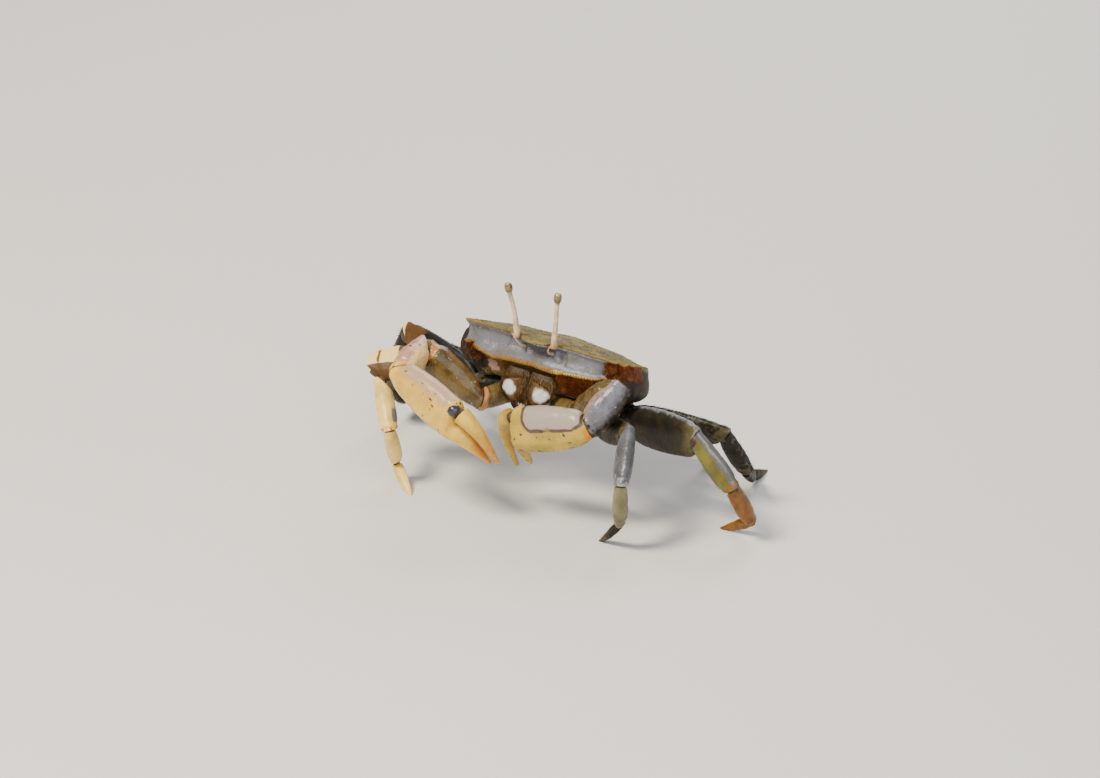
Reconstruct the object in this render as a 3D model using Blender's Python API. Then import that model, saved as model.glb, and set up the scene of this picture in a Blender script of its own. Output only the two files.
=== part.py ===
"""Japanese sentinel crab, a large male, life size, standing tall on its legs with its claws folded before it.

Body frame, in millimetres: x to the crab's left, y to its rear, z out of its back. The body is set nose-up
by PITCH, its right side raised by ROLL, at BODY_HEIGHT over the floor. Limbs are chains of lengths and
(azimuth, elevation) pairs in the room's frame: azimuth 0 points to the crab's left, -90 straight ahead. The
last segment of each walking leg takes the elevation that brings its toe to the floor.
"""
import bpy
import bmesh
import numpy as np
from mathutils import Vector

MM = 0.001

PITCH = 18.0
ROLL = 4.0
BODY_HEIGHT = 27.0
# The middle of the standing crab's box, measured from under the middle of its shell: it becomes the origin.
MIDDLE = (1.5, 1.25, 0.0)
GAP = 0.3
# How far the outer corner of a bent joint stands past it, in half breadths.
CORNER = (1.1, 1.1)

# Half outline of the carapace seen from above, from the middle of the front to the middle of the rear:
# front lobe, upper rim of the orbit, three side teeth (the first bounds the orbit), side, rear corner.
OUTLINE = (
    (0.0, -12.0, 0.0), (1.7, -11.9, 0.1), (2.6, -11.4, 0.2), (2.9, -10.4, 0.3), (3.6, -9.8, 0.4),
    (5.8, -9.7, 0.3), (8.4, -9.5, 0.2), (11.2, -9.2, 0.1), (13.8, -8.9, 0.1), (16.1, -8.7, 0.1),
    (15.5, -7.0, -0.1), (16.9, -6.3, -0.2), (16.2, -4.2, -0.3), (16.9, -3.5, -0.4), (16.6, -1.6, -0.5),
    (16.3, 1.4, -0.8), (15.6, 4.6, -1.4), (14.2, 7.4, -2.0), (12.2, 9.6, -2.3), (9.2, 10.9, -2.2),
    (5.0, 11.6, -1.9), (0.0, 11.7, -1.7),
)
FRONT_Y = -9.8
DOME = 0.5
FLOOR_OF_SHELL = -8.7

# Wall of the shell below its margin as (inset, drop): over the face, in the middle, at the side, at the rear.
# The fifth to seventh pairs of the face are the ridge under the orbit.
FACE = ((0.0, 0.0), (0.2, 0.45), (0.6, 1.3), (0.35, 2.8), (-0.4, 3.9), (-0.9, 4.5), (-0.5, 4.95), (0.6, 5.6),
        (1.9, 7.0), (3.2, 8.5))
MOUTH = ((0.0, 0.0), (0.1, 0.6), (0.9, 1.2), (1.0, 2.4), (0.0, 3.7), (-0.6, 4.5), (-0.5, 4.95), (1.9, 5.3),
         (2.2, 7.0), (2.6, 8.5))
SIDE = ((0.0, 0.0), (-0.25, 0.5), (-0.75, 1.3), (-1.3, 2.4), (-1.65, 3.6), (-1.8, 4.7), (-1.65, 5.8),
        (-0.9, 6.9), (0.8, 7.9), (4.3, 8.6))
# How far the ridge under the orbit draws in at the outer end of the face.
RIDGE_END = 1.7
REAR = ((0.0, 0.0), (0.0, 0.5), (0.05, 1.4), (0.2, 2.5), (0.45, 3.6), (0.75, 4.6), (1.15, 5.5), (1.8, 6.5),
        (2.8, 7.5), (4.4, 8.5))
RIDGE_X = (-17.0, -15.0, -12.0, -8.0, -5.4, 0.0, 3.5, 8.0, 12.0, 15.0, 17.0)
RIDGE_DROP = (0.78, 0.84, 1.0, 1.18, 1.08, 0.96, 1.05, 0.97, 0.9, 0.8, 0.76)
BACK_RINGS = (0.975, 0.88, 0.7, 0.46, 0.2)

EYE_BASE = (3.9, -10.9, -0.2)
EYE_TIP = {"l": (1.0, -0.15, 10.8), "r": (-2.4, 0.25, 10.0)}
EYE_BEND = {"l": (0.1, 0.0), "r": (0.5, 0.1)}

# Walking legs: lengths of coxa with ischium, merus, carpus, propodus, dactylus; hip in the body frame.
LEG_LENGTHS = {2: (4.5, 17.5, 10.5, 8.5, 7.5), 3: (4.5, 20.5, 12.0, 9.0, 7.5), 4: (4.5, 20.0, 11.0, 8.5, 7.0),
               5: (3.5, 11.0, 6.5, 5.5, 5.0)}
HIPS = {2: (9.3, -3.2, -10.8), 3: (10.4, 1.0, -10.7), 4: (10.0, 5.0, -10.6), 5: (8.4, 8.6, -10.2)}
LEG_ANGLES = {
    "2l": ((-22, -27), (-43, 17), (-69, -41), (125, -77), 156),
    "2r": ((-145, 5), (-161, -3), (-49, -38), (100, -66), -38),
    "3l": ((-4, -9), (-19, 6), (-21, -32), (75, -57), 168),
    "3r": ((-158, -14), (162, 11), (160, -66), (100, -38), 60),
    "4l": ((-1, 3), (-3, 0), (84, -54), (110, -29), 98),
    "4r": ((172, -10), (146, -8), (135, -28), (110, -20), 80),
    "5l": ((24, -16), (8, -7), (94, -31), (89, -65), 118),
    "5r": ((145, -14), (135, 1), (130, -54), (110, -64), 80),
}
# Half breadth and half thickness of each leg's merus, carpus, propodus and dactylus at their widest.
LEG_BREADTH = {2: (2.9, 2.3, 1.6, 0.95), 3: (3.9, 2.4, 1.8, 0.95), 4: (4.0, 2.0, 1.6, 0.9),
               5: (2.3, 1.3, 1.1, 0.7)}
LEG_THICKNESS = {2: (1.5, 1.6, 1.35, 0.7), 3: (1.5, 1.4, 1.2, 0.7), 4: (1.5, 1.4, 1.1, 0.7),
                 5: (1.1, 1.0, 0.8, 0.55)}
TOE = 0.42
# The second pair differ: the right one's merus is broader and its carpus slimmer, the left one's merus slimmer.
OWN_BREADTH = {"2r": (4.2, 1.7, 1.45, 0.95), "2l": (2.4, 2.3, 1.6, 0.95)}
# How far the right one's middle line stands over the line from hip to knee, and its carpus corners.
MERUS_LIFT = {"2r": 3.6}
CARPUS_CORNER = {"2r": (0.35, 1.1)}

# Claws: lengths of ischium, merus, carpus, palm and fingers.
CLAW_ROOT = (4.7, -6.2, -11.4)
CLAW_HIP = (5.6, -7.0, -11.2)
CLAW_LENGTHS = (5.7, 14.0, 8.4, 17.0, 11.0)
CLAW_CORNER = {"merus": (0.45, 0.3), "carpus": (0.7, 0.5), "palm": (0.5, 0.5)}
CLAW_ANGLES = {
    "l": ((-23, 8), (-21, 34.5), (-121, -46), (-180, -12.5), (110, -59)),
    "r": ((-115, -1), (-171.5, 36.5), (-91, -13.5), (-16.5, -19.5), (60, -50.5)),
}
PALM_HEIGHT = 4.3
PALM_THICKNESS = 2.6
FINGER_TURN = 40.0
# How far the left claw's fingers are drawn back to the wrist, and how much further its fixed finger is.
FINGER_BACK = {"l": (0.7, 2.2), "r": (0.0, 0.0)}

COLOURS = {
    "shell": ("8E8068", 0.45), "belly": ("C9C2AE", 0.5), "mouth": ("A79C86", 0.45), "stalk": ("E3D3BE", 0.35),
    "eye": ("9C8C5A", 0.15), "claw_upper": ("7A6A48", 0.4), "claw_wrist": ("C99A8A", 0.4),
    "claw_hand": ("DCC274", 0.4), "claw_finger": ("E0A850", 0.4), "leg_dark": ("4A4436", 0.5),
    "leg_mud": ("8C8A90", 0.5), "leg_yellow": ("A39A55", 0.45), "leg_toe": ("C0671E", 0.45),
}


def smooth(v):
    v = np.clip(v, 0.0, 1.0)
    return v * v * (3.0 - 2.0 * v)


def unit(v):
    v = np.asarray(v, dtype=float)
    return v / np.linalg.norm(v)


def heading(azimuth, elevation):
    a = np.radians(azimuth)
    e = np.radians(elevation)
    return np.array((np.cos(e) * np.cos(a), np.cos(e) * np.sin(a), np.sin(e)))


def to_room(points):
    """Turns body coordinates in mm into room coordinates in mm."""
    p = np.asarray(points, dtype=float)
    c = np.cos(np.radians(PITCH))
    s = np.sin(np.radians(PITCH))
    cr = np.cos(np.radians(ROLL))
    sr = np.sin(np.radians(ROLL))
    x = p[..., 0] * cr + p[..., 2] * sr
    z = p[..., 2] * cr - p[..., 0] * sr
    out = np.empty_like(p)
    out[..., 0] = x
    out[..., 1] = p[..., 1] * c + z * s
    out[..., 2] = BODY_HEIGHT - p[..., 1] * s + z * c
    return out


def surface(name):
    code, rough = COLOURS[name]
    mat = bpy.data.materials.get(name) or bpy.data.materials.new(name)
    mat.use_nodes = True
    node = mat.node_tree.nodes["Principled BSDF"]
    rgb = np.array([int(code[i:i + 2], 16) / 255.0 for i in (0, 2, 4)])
    rgb = np.where(rgb <= 0.04045, rgb / 12.92, ((rgb + 0.055) / 1.055) ** 2.4)
    node.inputs["Base Color"].default_value = (*rgb, 1.0)
    node.inputs["Roughness"].default_value = rough
    node.inputs["Metallic"].default_value = 0.0
    mat.diffuse_color = (*rgb, 1.0)
    return mat


def solid(name, rings, colour):
    """Closes a stack of equal rings (in mm) into one body with flat ends; a ring of one point is a tip."""
    verts = []
    faces = []
    starts = []
    for ring in rings:
        starts.append((len(verts), len(ring)))
        verts.extend((np.asarray(ring) - MIDDLE) * MM)
    for (a, na), (b, nb) in zip(starts[:-1], starts[1:]):
        n = max(na, nb)
        for i in range(n):
            j = (i + 1) % n
            if na == 1:
                faces.append((a, b + j, b + i))
            elif nb == 1:
                faces.append((a + i, a + j, b))
            else:
                faces.append((a + i, a + j, b + j, b + i))
    for start, n in (starts[0], starts[-1]):
        if n > 1:
            faces.append(tuple(range(start, start + n)))
    mesh = bpy.data.meshes.new(name)
    mesh.from_pydata([tuple(v) for v in verts], [], faces)
    work = bmesh.new()
    work.from_mesh(mesh)
    bmesh.ops.triangulate(work, faces=work.faces)
    bmesh.ops.recalc_face_normals(work, faces=work.faces)
    if work.calc_volume(signed=True) < 0.0:
        bmesh.ops.reverse_faces(work, faces=work.faces)
    work.to_mesh(mesh)
    work.free()
    mesh.materials.append(surface(colour))
    thing = bpy.data.objects.new(name, mesh)
    bpy.context.scene.collection.objects.link(thing)
    return thing


def oval(count, power=2.0, start=0.0):
    """Unit superellipse as pairs (broad, thin)."""
    a = start + np.linspace(0.0, 2.0 * np.pi, count, endpoint=False)
    c = np.cos(a)
    s = np.sin(a)
    e = 2.0 / power
    return np.sign(c) * np.abs(c) ** e, np.sign(s) * np.abs(s) ** e


def segment(a, b, before, after, broad, profile, count=10, power=2.0, end_gap=GAP, corner=CORNER):
    """Rings of one limb segment from a to b. Its ends lie in planes with normals before and after, half the
    gap short of the joint. The profile lists (place, half breadth, half thickness, shift to the broad side)."""
    d = unit(b - a)
    length = np.linalg.norm(b - a)
    w = unit(np.cross(d, broad))
    u = np.cross(w, d)
    x, y = oval(count, power)
    rings = []
    for t, hb, ht, shift in profile:
        off = np.outer(x * hb + shift, u) + np.outer(y * ht, w)
        first = (0.5 * GAP - off @ before) / (d @ before)
        last = length - (0.5 * end_gap + off @ after) / (d @ after)
        mid = t * length
        if t == 0.0:
            mid = -corner[0] * hb
        if t == 1.0:
            mid = length + (corner[1] * hb if end_gap else 9.0)
        along = np.minimum(np.maximum(mid, first), last)
        rings.append(a + off + np.outer(along, d))
    return rings


def held_back(rings, joint, normal, along):
    """Rings with each point that would pass the joint's plane pushed along to half the gap ahead of it."""
    out = []
    for ring in rings:
        depth = (ring - joint) @ normal
        short = np.maximum(0.0, 0.5 * GAP - depth) / (along @ normal)
        out.append(ring + np.outer(short, along))
    return out


def sweep(spine, broad, sizes, count=12, power=2.2):
    """Rings across a bent spine; sizes lists half breadth and half thickness at each spine point. broad is
    the broad side's direction, or a function that gives it for the direction of the spine."""
    spine = np.asarray(spine)
    tangents = np.gradient(spine, axis=0)
    x, y = oval(count, power)
    rings = []
    for p, t, (hb, ht) in zip(spine, tangents, sizes):
        t = unit(t)
        w = unit(np.cross(t, broad(t) if callable(broad) else broad))
        u = np.cross(w, t)
        rings.append(p + np.outer(x * hb, u) + np.outer(y * ht, w))
    return rings


def loop_outline(fine=3):
    """Whole outline of the carapace, left half first, with fine points on each span of the half outline."""
    half = np.array(OUTLINE)
    t = np.arange(len(half))
    at = np.linspace(0, len(half) - 1, (len(half) - 1) * fine + 1)
    left = np.stack([np.interp(at, t, half[:, k]) for k in range(3)], axis=1)
    right = left[-2:0:-1] * (-1.0, 1.0, 1.0)
    return np.concatenate((left, right))


def averaged(loop, reach):
    """The loop with its teeth smoothed away, as a moving mean over reach points each way."""
    shifts = [np.roll(loop, k, axis=0) for k in range(-reach, reach + 1)]
    return np.mean(shifts, axis=0)


def back_height(x, y):
    """Relief of the back in mm: grooves round the stomach and heart regions, low swellings at the sides."""
    ax = np.abs(x)
    stomach = 0.35 * np.exp(-((x / 4.2) ** 2 + ((y + 3.6) / 3.2) ** 2))
    heart = 0.25 * np.exp(-((x / 3.0) ** 2 + ((y - 4.4) / 2.2) ** 2))
    gill = 0.3 * np.exp(-(((ax - 10.0) / 3.4) ** 2 + ((y - 1.0) / 4.5) ** 2))
    neck = -0.4 * np.exp(-((ax - 5.4 - 0.25 * (y + 4.0)) / 0.9) ** 2) * np.exp(-((y + 3.5) / 4.0) ** 2)
    bar = -0.35 * np.exp(-((y - 1.3) / 0.8) ** 2) * np.exp(-(x / 4.5) ** 2)
    return stomach + heart + gill + neck + bar


def shell_rings(fine=3):
    loop = loop_outline(fine)
    soft = averaged(loop, 2 * fine)
    rings = [np.array(((0.0, 0.3, DOME + float(back_height(0.0, 0.3))),))]
    for f in reversed(BACK_RINGS):
        base = soft + (loop - soft) * smooth((f - 0.9) / 0.1)
        x = base[:, 0] * f
        y = 0.3 + (base[:, 1] - 0.3) * f
        z = base[:, 2] * f ** 2 + DOME * (1.0 - f ** 2.4) + back_height(x, y) * smooth((1.0 - f) / 0.25)
        rings.append(np.stack((x, y, z), axis=1))
    ax = np.abs(loop[:, 0])
    y = loop[:, 1]
    face = (1.0 - smooth((y + 8.4) / 4.4))[:, None]
    rear = smooth((y - 5.5) / 4.5)[:, None]
    mouth = ((1.0 - smooth((ax - 5.4) / 0.9)) * (y < -8.0))[:, None]
    nx = np.sign(loop[:, 0]) * (ax / 17.0) ** 5 / 17.0
    ny = np.sign(y) * np.abs(y / 11.8) ** 5 / 11.8
    out = np.stack((nx, ny), axis=1)
    out /= np.linalg.norm(out, axis=1)[:, None]
    walls = [np.array(p) for p in (FACE, MOUTH, SIDE, REAR)]
    ridge = np.interp(loop[:, 0], RIDGE_X, RIDGE_DROP)
    for k in range(len(FACE)):
        f, m, s, r = (wall[k] for wall in walls)
        front = f * (1.0 - mouth) + m * mouth
        inset, drop = (front * face + s * (1.0 - face - rear) + r * rear).T
        bell = np.exp(-((k - 5.0) / 2.2) ** 2) * face[:, 0]
        drop = drop * (1.0 + (ridge - 1.0) * bell)
        inset = inset + RIDGE_END * smooth((ax - 11.5) / 4.5) * bell
        base = loop.copy() if k < 2 else soft + (loop - soft) * (0.5 if k == 2 else 0.0)
        if k >= 2:
            base[:, 1] = np.where(ax < 5.0, np.maximum(base[:, 1], FRONT_Y), base[:, 1])
        x = base[:, 0] - out[:, 0] * inset
        y = base[:, 1] - out[:, 1] * inset
        z = base[:, 2] * (1.0 - k / 9.0) - drop
        if k == len(FACE) - 1:
            z = np.full_like(z, FLOOR_OF_SHELL)
        rings.append(np.stack((x, y, z), axis=1))
    last = rings[-1]
    rings.append(np.stack((last[:, 0] * 0.5, last[:, 1] * 0.5, np.full(len(last), FLOOR_OF_SHELL)), axis=1))
    rings.append(np.array(((0.0, 0.3, FLOOR_OF_SHELL),)))
    return rings


def build_body():
    solid("carapace", [to_room(r) for r in shell_rings()], "shell")
    x, y = oval(12, 2.6)
    rings = []
    for at, half, low in ((-4.2, 2.2, -11.6), (-3.2, 4.2, -12.2), (-1.0, 6.4, -12.5), (2.5, 7.0, -12.5),
                          (6.0, 6.6, -12.4), (7.8, 5.2, -11.8), (8.7, 3.0, -11.0)):
        top = FLOOR_OF_SHELL - GAP
        mid = 0.5 * (top + low)
        rings.append(np.stack((x * half, np.full(12, at), mid + y * 0.5 * (top - low)), axis=1))
    solid("sternum", [to_room(r) for r in rings], "belly")
    path = ((12.35, -2.9, 5.6), (12.45, -4.0, 5.8), (12.1, -5.6, 5.8), (11.4, -7.8, 5.4), (10.7, -10.2, 4.8),
            (9.6, -12.4, 4.2), (7.2, -13.5, 3.7), (3.5, -13.6, 3.0), (0.0, -13.5, 2.4), (-2.4, -13.2, 1.8),
            (-3.6, -13.0, 1.0))
    spine = [(0.0, p[0], p[1]) for p in path]
    rings = sweep(spine, np.array((1.0, 0.0, 0.0)), [(p[2], 0.45) for p in path], 10, 3.0)
    solid("abdomen", [to_room(r) for r in rings], "belly")
    x, y = oval(12, 3.2)
    for side, sign in (("l", 1.0), ("r", -1.0)):
        rings = []
        for z, inner, outer, mid, thick in ((-5.75, 0.5, 4.6, -9.8, 0.55), (-6.6, 0.25, 5.1, -9.9, 0.8),
                                            (-8.2, 0.2, 5.35, -10.0, 0.85), (-9.8, 0.2, 5.2, -10.0, 0.85),
                                            (-11.0, 0.25, 4.2, -9.9, 0.75), (-11.8, 0.5, 3.2, -9.7, 0.5)):
            px = 0.5 * (inner + outer) + x * 0.5 * (outer - inner)
            rings.append(np.stack((sign * px, mid + y * thick, np.full(12, z)), axis=1))
        solid("maxilliped_" + side, [to_room(r) for r in rings], "mouth")


def build_eyes():
    for side, sign in (("l", 1.0), ("r", -1.0)):
        base = to_room(np.array(EYE_BASE) * (sign, 1.0, 1.0))
        reach = np.array(EYE_TIP[side])
        bend = EYE_BEND[side]
        steps = (0.0, 0.14, 0.34, 0.54, 0.7, 0.8)
        widths = (0.66, 0.58, 0.48, 0.43, 0.42, 0.46)
        spine = []
        for t in steps:
            arch = np.sin(np.pi * t)
            spine.append(base + reach * t + np.array((bend[0] * arch, bend[1] * arch, 0.0)))
        rings = sweep(spine, np.array((1.0, 0.0, 0.0)), [(w, w) for w in widths], 8, 2.0)
        solid("eyestalk_" + side, rings, "stalk")
        axis = unit(reach)
        length = np.linalg.norm(reach)
        start = spine[-1] + axis * GAP
        tall = 0.2 * length - GAP + 0.2
        rings = []
        for t, w in ((0.0, 0.5), (0.25, 0.72), (0.6, 0.76), (0.87, 0.48)):
            ring = sweep([start, start + axis], np.array((1.0, 0.0, 0.0)), [(w, w), (w, w)], 8, 2.0)[0]
            rings.append(ring + axis * tall * t)
        rings.append(np.array((start + axis * tall,)))
        solid("cornea_" + side, rings, "eye")


def chain(start, lengths, angles):
    points = [start]
    for length, (azimuth, elevation) in zip(lengths, angles):
        points.append(points[-1] + length * heading(azimuth, elevation))
    return points


def build_leg(rank, side):
    sign = 1.0 if side == "l" else -1.0
    key = f"{rank}{side}"
    lengths = LEG_LENGTHS[rank]
    hip = np.array(HIPS[rank]) * (sign, 1.0, 1.0)
    root = to_room(hip - (sign * (abs(hip[0]) - 7.4), 0.0, 0.15))
    hip = to_room(hip)
    angles = LEG_ANGLES[key]
    points = chain(hip, lengths[:4], angles[:4])
    fall = -np.degrees(np.arcsin(points[-1][2] / lengths[4]))
    points.append(points[-1] + lengths[4] * heading(angles[4], fall))
    dirs = [unit(q - p) for p, q in zip(points[:-1], points[1:])]
    joints = [unit(p + q) for p, q in zip(dirs[:-1], dirs[1:])]
    normal = unit(np.cross(dirs[1], dirs[2]))
    broad = np.cross(normal, dirs[1])
    if broad @ (dirs[1] - dirs[2]) < 0.0:
        broad = -broad
    mb, cb, pb, db = OWN_BREADTH.get(key, LEG_BREADTH[rank])
    mt, ct, pt, dt = LEG_THICKNESS[rank]
    name = f"leg{rank}{side}_"
    start = unit(hip - root)
    bend = unit(start + dirs[0])
    thick = 1.75 if rank < 5 else 1.45
    up = np.array((0.0, 0.0, 1.0))
    inner = segment(root, hip, start, bend, up, ((0.0, thick, thick, 0.0),))
    outer = segment(hip, points[1], bend, joints[0], up,
                    ((0.0, thick, thick, 0.0), (0.55, thick * 0.95, thick * 0.9, 0.0),
                     (1.0, min(mb, 3.1) * 0.62, mt * 0.85, 0.0)))
    solid(name + "coxa", inner + outer, "leg_dark")
    lift = MERUS_LIFT.get(key, 0.0)
    merus = ((0.0, min(mb, 3.1) * 0.55, mt * 0.8, 0.0), (0.2, mb * 0.85, mt, 0.0), (0.5, mb, mt, lift * 0.4),
             (0.8, mb * 0.92, mt * 0.95, lift * 0.95), (0.94, mb * 0.8, ct, lift),
             (1.0, mb * 0.6, ct * 0.85, lift * 0.8))
    solid(name + "merus", segment(points[1], points[2], joints[0], joints[1], broad, merus), "leg_dark")
    carpus = ((0.0, cb * 0.85, ct * 0.8, 0.0), (0.3, cb * 0.95, ct, 0.0), (0.75, cb, ct, 0.0),
              (1.0, pb * 0.95, pt * 0.95, 0.0))
    tone = "leg_yellow" if key in ("2r", "3l") else "leg_mud" if key == "2l" else "leg_dark"
    corner = CARPUS_CORNER.get(key, CORNER)
    rings = segment(points[2], points[3], joints[1], joints[2], broad, carpus, corner=corner)
    solid(name + "carpus", rings, tone)
    propodus = ((0.0, pb * 0.9, pt * 0.85, 0.0), (0.35, pb, pt, 0.0), (0.75, pb * 0.92, pt, 0.0),
                (1.0, db * 1.1, dt * 1.05, 0.0))
    tone = "leg_toe" if key == "3l" else "leg_yellow" if rank == 2 else "leg_dark"
    solid(name + "propodus", segment(points[3], points[4], joints[2], joints[3], broad, propodus), tone)
    dactyl = ((0.0, db * 0.9, dt * 0.9, 0.0), (0.3, db, dt, 0.12), (0.65, db * 0.8, dt * 0.8, 0.12),
              (1.0, TOE, TOE, 0.0))
    tone = "leg_toe" if key == "3l" else "leg_yellow" if key == "2r" else "leg_dark"
    solid(name + "dactylus", segment(points[4], points[5], joints[3], -up, broad, dactyl, end_gap=0.0), tone)


def build_claw(side):
    sign = 1.0 if side == "l" else -1.0
    root = to_room(np.array(CLAW_ROOT) * (sign, 1.0, 1.0))
    hip = to_room(np.array(CLAW_HIP) * (sign, 1.0, 1.0))
    points = chain(hip, CLAW_LENGTHS, CLAW_ANGLES[side])
    dirs = [unit(q - p) for p, q in zip(points[:-1], points[1:])]
    joints = [unit(p + q) for p, q in zip(dirs[:-1], dirs[1:])]
    name = f"claw_{side}_"
    up = np.array((0.0, 0.0, 1.0))
    start = unit(hip - root)
    bend = unit(start + dirs[0])
    inner = segment(root, hip, start, bend, up, ((0.0, 1.7, 1.7, 0.0),), 10)
    outer = segment(hip, points[1], bend, joints[0], up, ((0.0, 1.95, 1.9, 0.0), (0.5, 2.05, 1.9, 0.0),
                                                          (1.0, 1.9, 1.7, 0.0)), 10)
    solid(name + "ischium", inner + outer, "claw_upper")
    merus = ((0.0, 1.7, 1.6, 0.0), (0.2, 2.4, 2.0, 0.0), (0.5, 2.9, 2.3, 0.0), (0.8, 2.9, 2.4, 0.0),
             (1.0, 1.8, 1.8, 0.0))
    rings = segment(points[1], points[2], joints[0], joints[1], up, merus, 14, 2.3, corner=CLAW_CORNER["merus"])
    solid(name + "merus", rings, "claw_upper")
    p = dirs[3]
    f = dirs[4]
    turn = unit(f - (f @ p) * p)
    across = np.cross(p, turn)
    a = np.radians(FINGER_TURN)
    hand = -sign
    top = unit(-np.cos(a) * turn + hand * np.sin(a) * across)
    outward = unit(-np.sin(a) * turn - hand * np.cos(a) * across)
    carpus = ((0.0, 2.1, 1.9, 0.0), (0.22, 2.6, 2.4, 0.0), (0.5, 2.9, 2.6, 0.0), (0.8, 2.6, 2.3, 0.0),
              (1.0, 1.8, 1.7, 0.0))
    rings = segment(points[2], points[3], joints[1], joints[2], top, carpus, 14, 2.3,
                    corner=CLAW_CORNER["carpus"])
    solid(name + "carpus", rings, "claw_wrist")
    wrist = points[3]
    palm = CLAW_LENGTHS[3]
    tip = points[5]

    def local(along, high, side_out=0.0):
        return wrist + p * along + top * high + outward * side_out

    def carried(t):
        """The top direction, turned with the fingers as they bend away from the palm."""
        bent = np.arctan2(t @ turn, t @ p)
        back = np.sin(bent) * p - np.cos(bent) * turn
        return np.cos(a) * back + hand * np.sin(a) * across

    h = PALM_HEIGHT
    w = PALM_THICKNESS
    body = [(0.5, 0.0, 2.0, 1.8), (1.8, 0.0, 3.1, 2.3), (4.6, 0.0, h * 0.88, w * 0.94), (8.6, 0.0, h * 0.99, w),
            (12.4, 0.0, h, w * 0.96), (15.3, -0.1, h * 0.93, w * 0.85)]
    spine = [local(q[0], q[1]) for q in body]
    sizes = [(q[2], q[3]) for q in body]
    rings = sweep(spine, top, sizes, 14, 2.3)
    rings[0] = segment(wrist, wrist + p * palm, joints[2], p, top, ((0.0, 1.8, 1.7, 0.0),), 14, 2.3,
                       corner=CLAW_CORNER["palm"])[0]
    rings = held_back(rings, wrist, joints[2], p)
    apart = carried(f)
    back, stub = FINGER_BACK[side]
    root_low = local(15.5 - stub * 0.3, -1.9)
    knee_low = local(19.0 - back - stub, -2.0, -0.4)
    end = tip - apart * 0.75 - f * (0.3 + stub * 0.8) - p * (back + stub)
    steps = np.linspace(0.0, 1.0, 6)
    curve = [(1 - t) ** 2 * root_low + 2 * t * (1 - t) * knee_low + t * t * end for t in steps]
    finger = [(2.1, 1.8), (1.75, 1.55), (1.4 + stub * 0.15, 1.3), (1.1 + stub * 0.2, 1.05),
              (0.8 + stub * 0.2, 0.8), (0.4 + stub * 0.15, 0.4)]
    rings += sweep(curve, carried, finger, 14, 2.3)
    solid(name + "palm", rings, "claw_hand")
    root_high = local(16.6, 2.35)
    knee_high = local(20.9 - back, 1.9, -0.4)
    end = tip + apart * 0.65 + f * 0.3 - p * back
    curve = [(1 - t) ** 2 * root_high + 2 * t * (1 - t) * knee_high + t * t * end for t in steps]
    finger = [(1.75, 1.6), (1.6, 1.45), (1.32, 1.22), (1.05, 1.0), (0.76, 0.75), (0.38, 0.38)]
    solid(name + "dactylus", sweep(curve, carried, finger, 12, 2.3), "claw_finger")


for thing in list(bpy.data.objects):
    bpy.data.objects.remove(thing, do_unlink=True)

build_body()
build_eyes()
for side in ("l", "r"):
    build_claw(side)
    for rank in (2, 3, 4, 5):
        build_leg(rank, side)
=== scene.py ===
# %% [markdown]
# # A sentinel crab, life size, standing on its toes
# A sentinel crab is a small shore crab with a wide, flat shell and eyes on long stalks. The solids of its
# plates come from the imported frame; this script dresses each of them with a finer surface in the same place.
# Blender could give such shapes by sculpting or with subdivided cages. Here every shape is a stack of rings
# instead: it is the plainest way to draw a limb, a shell or an eye as one closed surface, and the rings come
# from the same few sizes as the solids.

import bpy
import numpy as np
from mathutils import Matrix, Vector


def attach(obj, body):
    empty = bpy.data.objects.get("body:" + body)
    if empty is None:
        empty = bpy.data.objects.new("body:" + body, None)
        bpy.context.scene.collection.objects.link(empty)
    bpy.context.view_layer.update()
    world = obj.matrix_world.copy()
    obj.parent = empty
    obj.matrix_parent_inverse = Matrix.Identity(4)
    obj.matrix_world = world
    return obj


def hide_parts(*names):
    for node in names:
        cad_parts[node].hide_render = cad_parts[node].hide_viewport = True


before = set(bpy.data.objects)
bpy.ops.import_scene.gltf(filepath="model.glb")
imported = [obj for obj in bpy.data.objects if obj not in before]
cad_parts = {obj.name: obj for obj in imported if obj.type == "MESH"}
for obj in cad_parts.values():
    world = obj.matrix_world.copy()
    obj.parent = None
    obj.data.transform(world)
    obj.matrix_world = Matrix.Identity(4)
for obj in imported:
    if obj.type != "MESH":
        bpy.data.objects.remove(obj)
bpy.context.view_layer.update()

# %% [markdown]
# ## How the crab stands
# The shell is described in its own frame: x to the crab's left, y to its rear, z out of its back, in
# millimetres. The animal holds its nose up and its right side a little higher, so one function turns shell
# points into points of the room. The limbs start at points of the shell, and from there their segments run
# at angles given in the room.

# %% Posture
MM = 0.001
# How many degrees the nose is held up and the right side over the left, and the height of the middle in mm.
PITCH = 18.0
ROLL = 4.0
BODY_HEIGHT = 27.0
# The point of the floor, in mm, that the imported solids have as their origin.
MIDDLE = np.array((1.5, 1.25, 0.0))
# The gap between two plates in mm, and how far the first and last ring of a segment reach past its joints
# before the joint planes cut them, in half breadths.
GAP = 0.3
CORNER = (1.1, 1.1)
UP = np.array((0.0, 0.0, 1.0))


def to_room(points):
    """Shell coordinates to room coordinates: roll about y, then pitch about x, then lift to BODY_HEIGHT."""
    p = np.asarray(points, dtype=float)
    c, s = np.cos(np.radians(PITCH)), np.sin(np.radians(PITCH))
    cr, sr = np.cos(np.radians(ROLL)), np.sin(np.radians(ROLL))
    x = p[..., 0] * cr + p[..., 2] * sr
    z = p[..., 2] * cr - p[..., 0] * sr
    return np.stack((x, p[..., 1] * c + z * s, BODY_HEIGHT - p[..., 1] * s + z * c), axis=-1)


def on_side(point, sign):
    """A shell point of the left side (sign 1) or its mirror image (sign -1), in the room."""
    return to_room(np.array(point) * (sign, 1.0, 1.0))


print("middle of the shell in the room, mm:", to_room((0.0, 0.0, 0.0)))

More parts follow.
